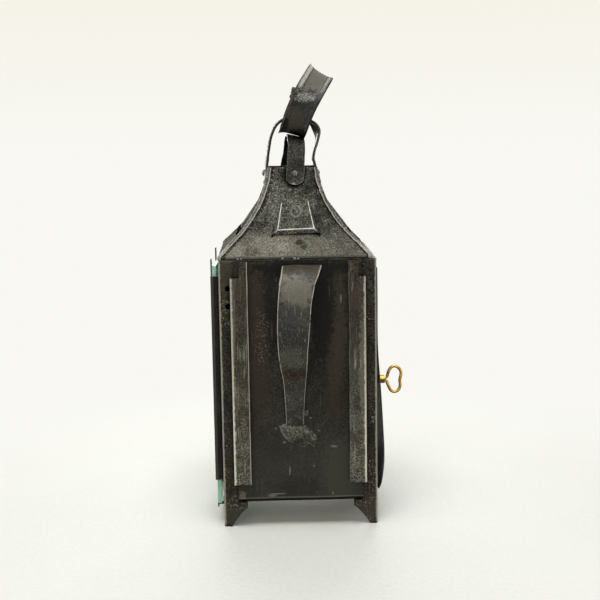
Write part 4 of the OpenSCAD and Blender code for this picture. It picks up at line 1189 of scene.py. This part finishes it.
def pull_strap():
    path = smooth_path(pull_path(), 130)
    across = spread(-1, 1, 13)
    grid = []
    for i, p in enumerate(path):
        go = along(path, i)
        out = Vector((0, go.z, -go.y)).normalized()
        u = (p.z - PULL_Z0) / (PULL_Z1 - PULL_Z0)
        w = (PULL_LOW_W + (PULL_TOP_W - PULL_LOW_W) * lookup(u, PULL_FULL)) / 2
        line = []
        for q in across:
            point = p + Vector((q * w + max(0, q) * lookup(u, PULL_SIDE), 0, 0))
            line.append(point + out * (PULL_T / 2 + dent(point, 16, 0.35, 2) - 0.3 * q * q))
        grid.append(line)
    add("pull_strap_strip", sheet(grid, PULL_T), "pull", ["pull_strap"], "back_slide", 0.35,
        rim=[abs(q) for q in across] * (2 * len(path)))


def solder_patch():
    """Rough lump of solder over the foot of the pull strap, with a few drops."""
    y = -PANEL_Y - SHEET
    outline = [(-13.2, 5.3), (-8.3, 7.4), (-3.5, 7), (1.4, 6.6), (5.6, 5.6), (9, 2.2), (12.5, -0.4),
               (15.3, -4.7), (15.3, -9), (12.5, -11.1), (9, -9), (4.2, -11.1), (0, -9), (-4.2, -6.9),
               (-8.3, -4), (-10.8, -0.4)]
    rings, sides = 12, 72
    closed = smooth_path([(x, 0, z) for x, z in outline + outline[:1]], sides + 1)[:-1]
    verts = []
    for q in spread(0, 1, rings + 1):
        for k, e in enumerate(closed):
            p = Vector((-2, y, PULL_Z0 - 6)) + e * q * (1 + 0.06 * wave(k / 3, 2, 1))
            rough = 0.9 * noise.noise(p / 3.2) + 0.35 * noise.noise(p / 1.2)
            h = max(0.12, 1.5 * (1 - q ** 3) + rough * (1 - q ** 4))
            verts.append(Vector((p.x, y + (0.1 - h if q < 1 else 0.25), p.z)))
    drops = ((5.1, 83.5, 1.4), (11.2, 61.4, 1.3), (-17, 72, 1.0), (13.6, 70, 0.9), (-11, 62, 1.1),
             (7.5, 79, 0.8))
    shell = join((verts, capped(rings + 1, sides)), *[blob((x, y, z), r, 0.5, x) for x, z, r in drops])
    add("strap_solder_lump", shell, "solder", ["strap_solder"], "back_slide")


# ---- door and key ----

def door_bulge(y, z):
    """How far the door is bowed out at a place."""
    full, flat = 0.17, 0.75
    s = (z - DOOR_Z0) / (DOOR_Z1 - DOOR_Z0)
    if s > flat:
        return 0
    low = max(0, (full - s) / full)
    up = 1 - 0.62 * low ** 2 - 0.3 * low ** 12
    if s > full:
        up = (1 + cosd(180 * (s - full) / (flat - full))) / 2
    return DOOR_BOW * max(0, (DOOR_Y - 9 - y) / (2 * DOOR_Y - 9)) * up


def door():
    def point(z, y):
        p = Vector((DOOR_X + SHEET + door_bulge(y, z), y, z))
        return p + Vector((dent(p, 24, 0.35, 6) * clamp((DOOR_Y - 10 - y) / 12), 0, 0))

    grid = grid_of(spread(DOOR_Z0, DOOR_Z1, 64), spread(-DOOR_Y, DOOR_Y, 40), point)
    add("door_sheet", sheet(grid, SHEET, -1), "door", ["door_panel"], "door", 0.2,
        [peg((DOOR_X, KEY_Y, KEY_Z), (1, 0, 0), 2.35, 20)], two_sided=True)


def key_bow():
    """Open bow of bent brass wire."""
    bow_x = CAD["key_bow"][0][0]
    flat = [(0, 1.0), (1.1, 1.25), (1.9, 2.3), (2.4, 4.4), (3.2, 6.5), (4.7, 8.4), (6.8, 9.25), (9, 8.7),
            (11, 6.7), (11.8, 4.3), (11.6, 2.1), (11, -0.3), (11, -2.6), (11.2, -4.7), (10.6, -7.2),
            (9, -9.1), (6.4, -9.7), (4.3, -8.35), (2.9, -5.9), (2, -3.6), (1.1, -1.45), (0, -1.0)]
    path = smooth_path([(bow_x + x, KEY_Y, KEY_Z + z) for x, z in flat], 120)

    def section(i):
        go = along(path, i).normalized()
        out = Vector((go.z, 0, -go.x))
        r = WIRE_R * (1 + 0.05 * noise.noise(path[i] / 2))
        return [path[i] + r * (c * out + s * Vector((0, 1, 0))) for c, s in circle(16)]

    add("key_bow_wire", tube(path, section), "brass", ["key_bow"], "key")


# ---- candle ----

def candle():
    """Used candle with a melted, dished top."""
    r, z0, z1 = CANDLE_R, CAD["candle"][0][2], CAD["candle"][1][2]
    profile = [(r - 0.6, z0), (r, z0 + 0.6)] + [(r, z) for z in spread(z0 + 1, z1 - 2, 15)]
    wall = len(profile)
    profile += [(r - 0.4, z1 - 0.7), (r - 1.3, z1 - 0.1), (r - 2.4, z1 - 0.6), (r * 0.5, z1 - 1.6),
                (1.2, z1 - 1.3)]
    verts = []
    for i, (out, z) in enumerate(profile):
        for c, s in circle(64):
            melt = max(0, 1 - (z1 - z) / 26) if i <= wall else 0.6
            run = melt * 0.55 * max(0, wave(2.2 * c, 2.2 * s, 0.4 + z / 60)) - 0.25
            drop = min(0, 1.1 * wave(c, s, 3)) if i >= wall else 0
            verts.append(Vector((c * (out + run), s * (out + run), z + drop)))
    add("candle_stick", (verts, capped(len(profile), 64)), "wax", ["candle"], "candle")
    low, top = CAD["wick"][0][2], CAD["wick"][1][2]
    path = smooth_path([(0, 0, low), (0.1, 0, low + 4), (0.5, -0.2, low + 7), (1.5, -0.5, top - 0.3)], 24)

    def section(i):
        return [path[i] + Vector((c, s, 0)) * (0.8 + 0.1 * math.sin(math.pi * k / 2 + i * 0.9))
                for k, (c, s) in enumerate(circle(12))]

    add("candle_wick", tube(path, section), "wick", ["wick"], "candle")


# ---- CAD pieces that stay ----

def carried_over():
    kept = {"post": "eave_frame stops_back stops_left stops_front",
            "pin": "door_leaves post_leaves hinge_pins",
            "inside": "floor_pan drip_pan candle_socket",
            "brass": "key_bush key_shank latch_tongue",
            "green": "green_glass", "clear": "front_glass"}
    for material, names in kept.items():
        for name in names.split():
            give_material(frame["nodes"][name], material)
            round_edges(frame["nodes"][name], 0.18)


# ---- camera, lights, stage ----

def camera():
    az, pitch, roll = -1.56, 8.78, -0.88
    data = bpy.data.cameras.new("camera")
    data.lens, data.sensor_width, data.clip_start, data.clip_end = 69.3, 36, 0.05, 20
    ahead = Vector((-sind(az) * cosd(pitch), cosd(az) * cosd(pitch), -sind(pitch)))
    right = Vector((cosd(az), sind(az), 0))
    up = right.cross(ahead)
    x, y = right * cosd(roll) + up * sind(roll), up * cosd(roll) - right * sind(roll)
    place = Matrix((x, y, -ahead)).transposed().to_4x4()
    place.translation = Vector((-20.2, -850, 286.2)) * MM
    cam = placed("camera", data)
    cam.matrix_world = place
    bpy.context.scene.camera = cam


def lights():
    boxes = (("top_box", (-0.05, -0.4, 1.5), (0.9, 0.7), 15),
             ("front_box", (-0.3, -1.7, 1.0), (1.2, 0.9), 8),
             ("left_box", (-1.5, -0.4, 0.8), (0.8, 0.8), 0.8),
             ("right_box", (1.5, -0.4, 0.8), (0.8, 0.8), 1.0),
             ("back_box", (0.0, 1.5, 0.4), (1.4, 0.4), 13))
    for name, place, size, power in boxes:
        data = bpy.data.lights.new(name, "AREA")
        data.shape, data.size, data.size_y, data.energy = "RECTANGLE", *size, power
        light = placed(name, data)
        light.visible_camera = False
        light.location = place
        light.rotation_euler = (Vector((0, 0, 0.14)) - Vector(place)).to_track_quat("-Z", "Y").to_euler()


def backdrop():
    """Soft light from all round, with a pale graded backdrop where the camera sees it."""
    world = bpy.data.worlds.new("studio")
    bpy.context.scene.world = world
    n = Nodes(world)
    soft = n.find("BACKGROUND")
    n.put(soft.inputs["Color"], (100, 99, 96.5))
    n.put(soft.inputs["Strength"], 0.18)
    height = n.axis("Z", n.node("TexCoord").outputs["Generated"])
    ramp = n.node("MapRange", {"Value": height, "From Min": -0.02, "From Max": 0.1}).outputs[0]
    shown = n.node("Background", {"Color": n.mix(ramp, FAR_COLOUR, (91.3, 89, 80.5))}).outputs[0]
    both = n.node("MixShader", {0: n.seen(), 1: soft.outputs[0], 2: shown}).outputs[0]
    n.put(n.find("OUTPUT_WORLD").inputs["Surface"], both)


def stage():
    mesh = bpy.data.meshes.new("stage_floor")
    mesh.from_pydata([(-4, -4, 0), (4, -4, 0), (4, 4, 0), (-4, 4, 0)], [], [(0, 1, 2, 3)])
    mesh.materials.append(MATERIALS["floor"])
    placed("stage_floor", mesh)


for build in (posts, roof, hoods, straps, ring, rails, back_panel, pull_strap, solder_patch, door, key_bow,
              candle, carried_over, camera, lights, backdrop, stage):
    build()
bpy.context.scene.view_settings.view_transform = "Standard"
bpy.context.view_layer.update()
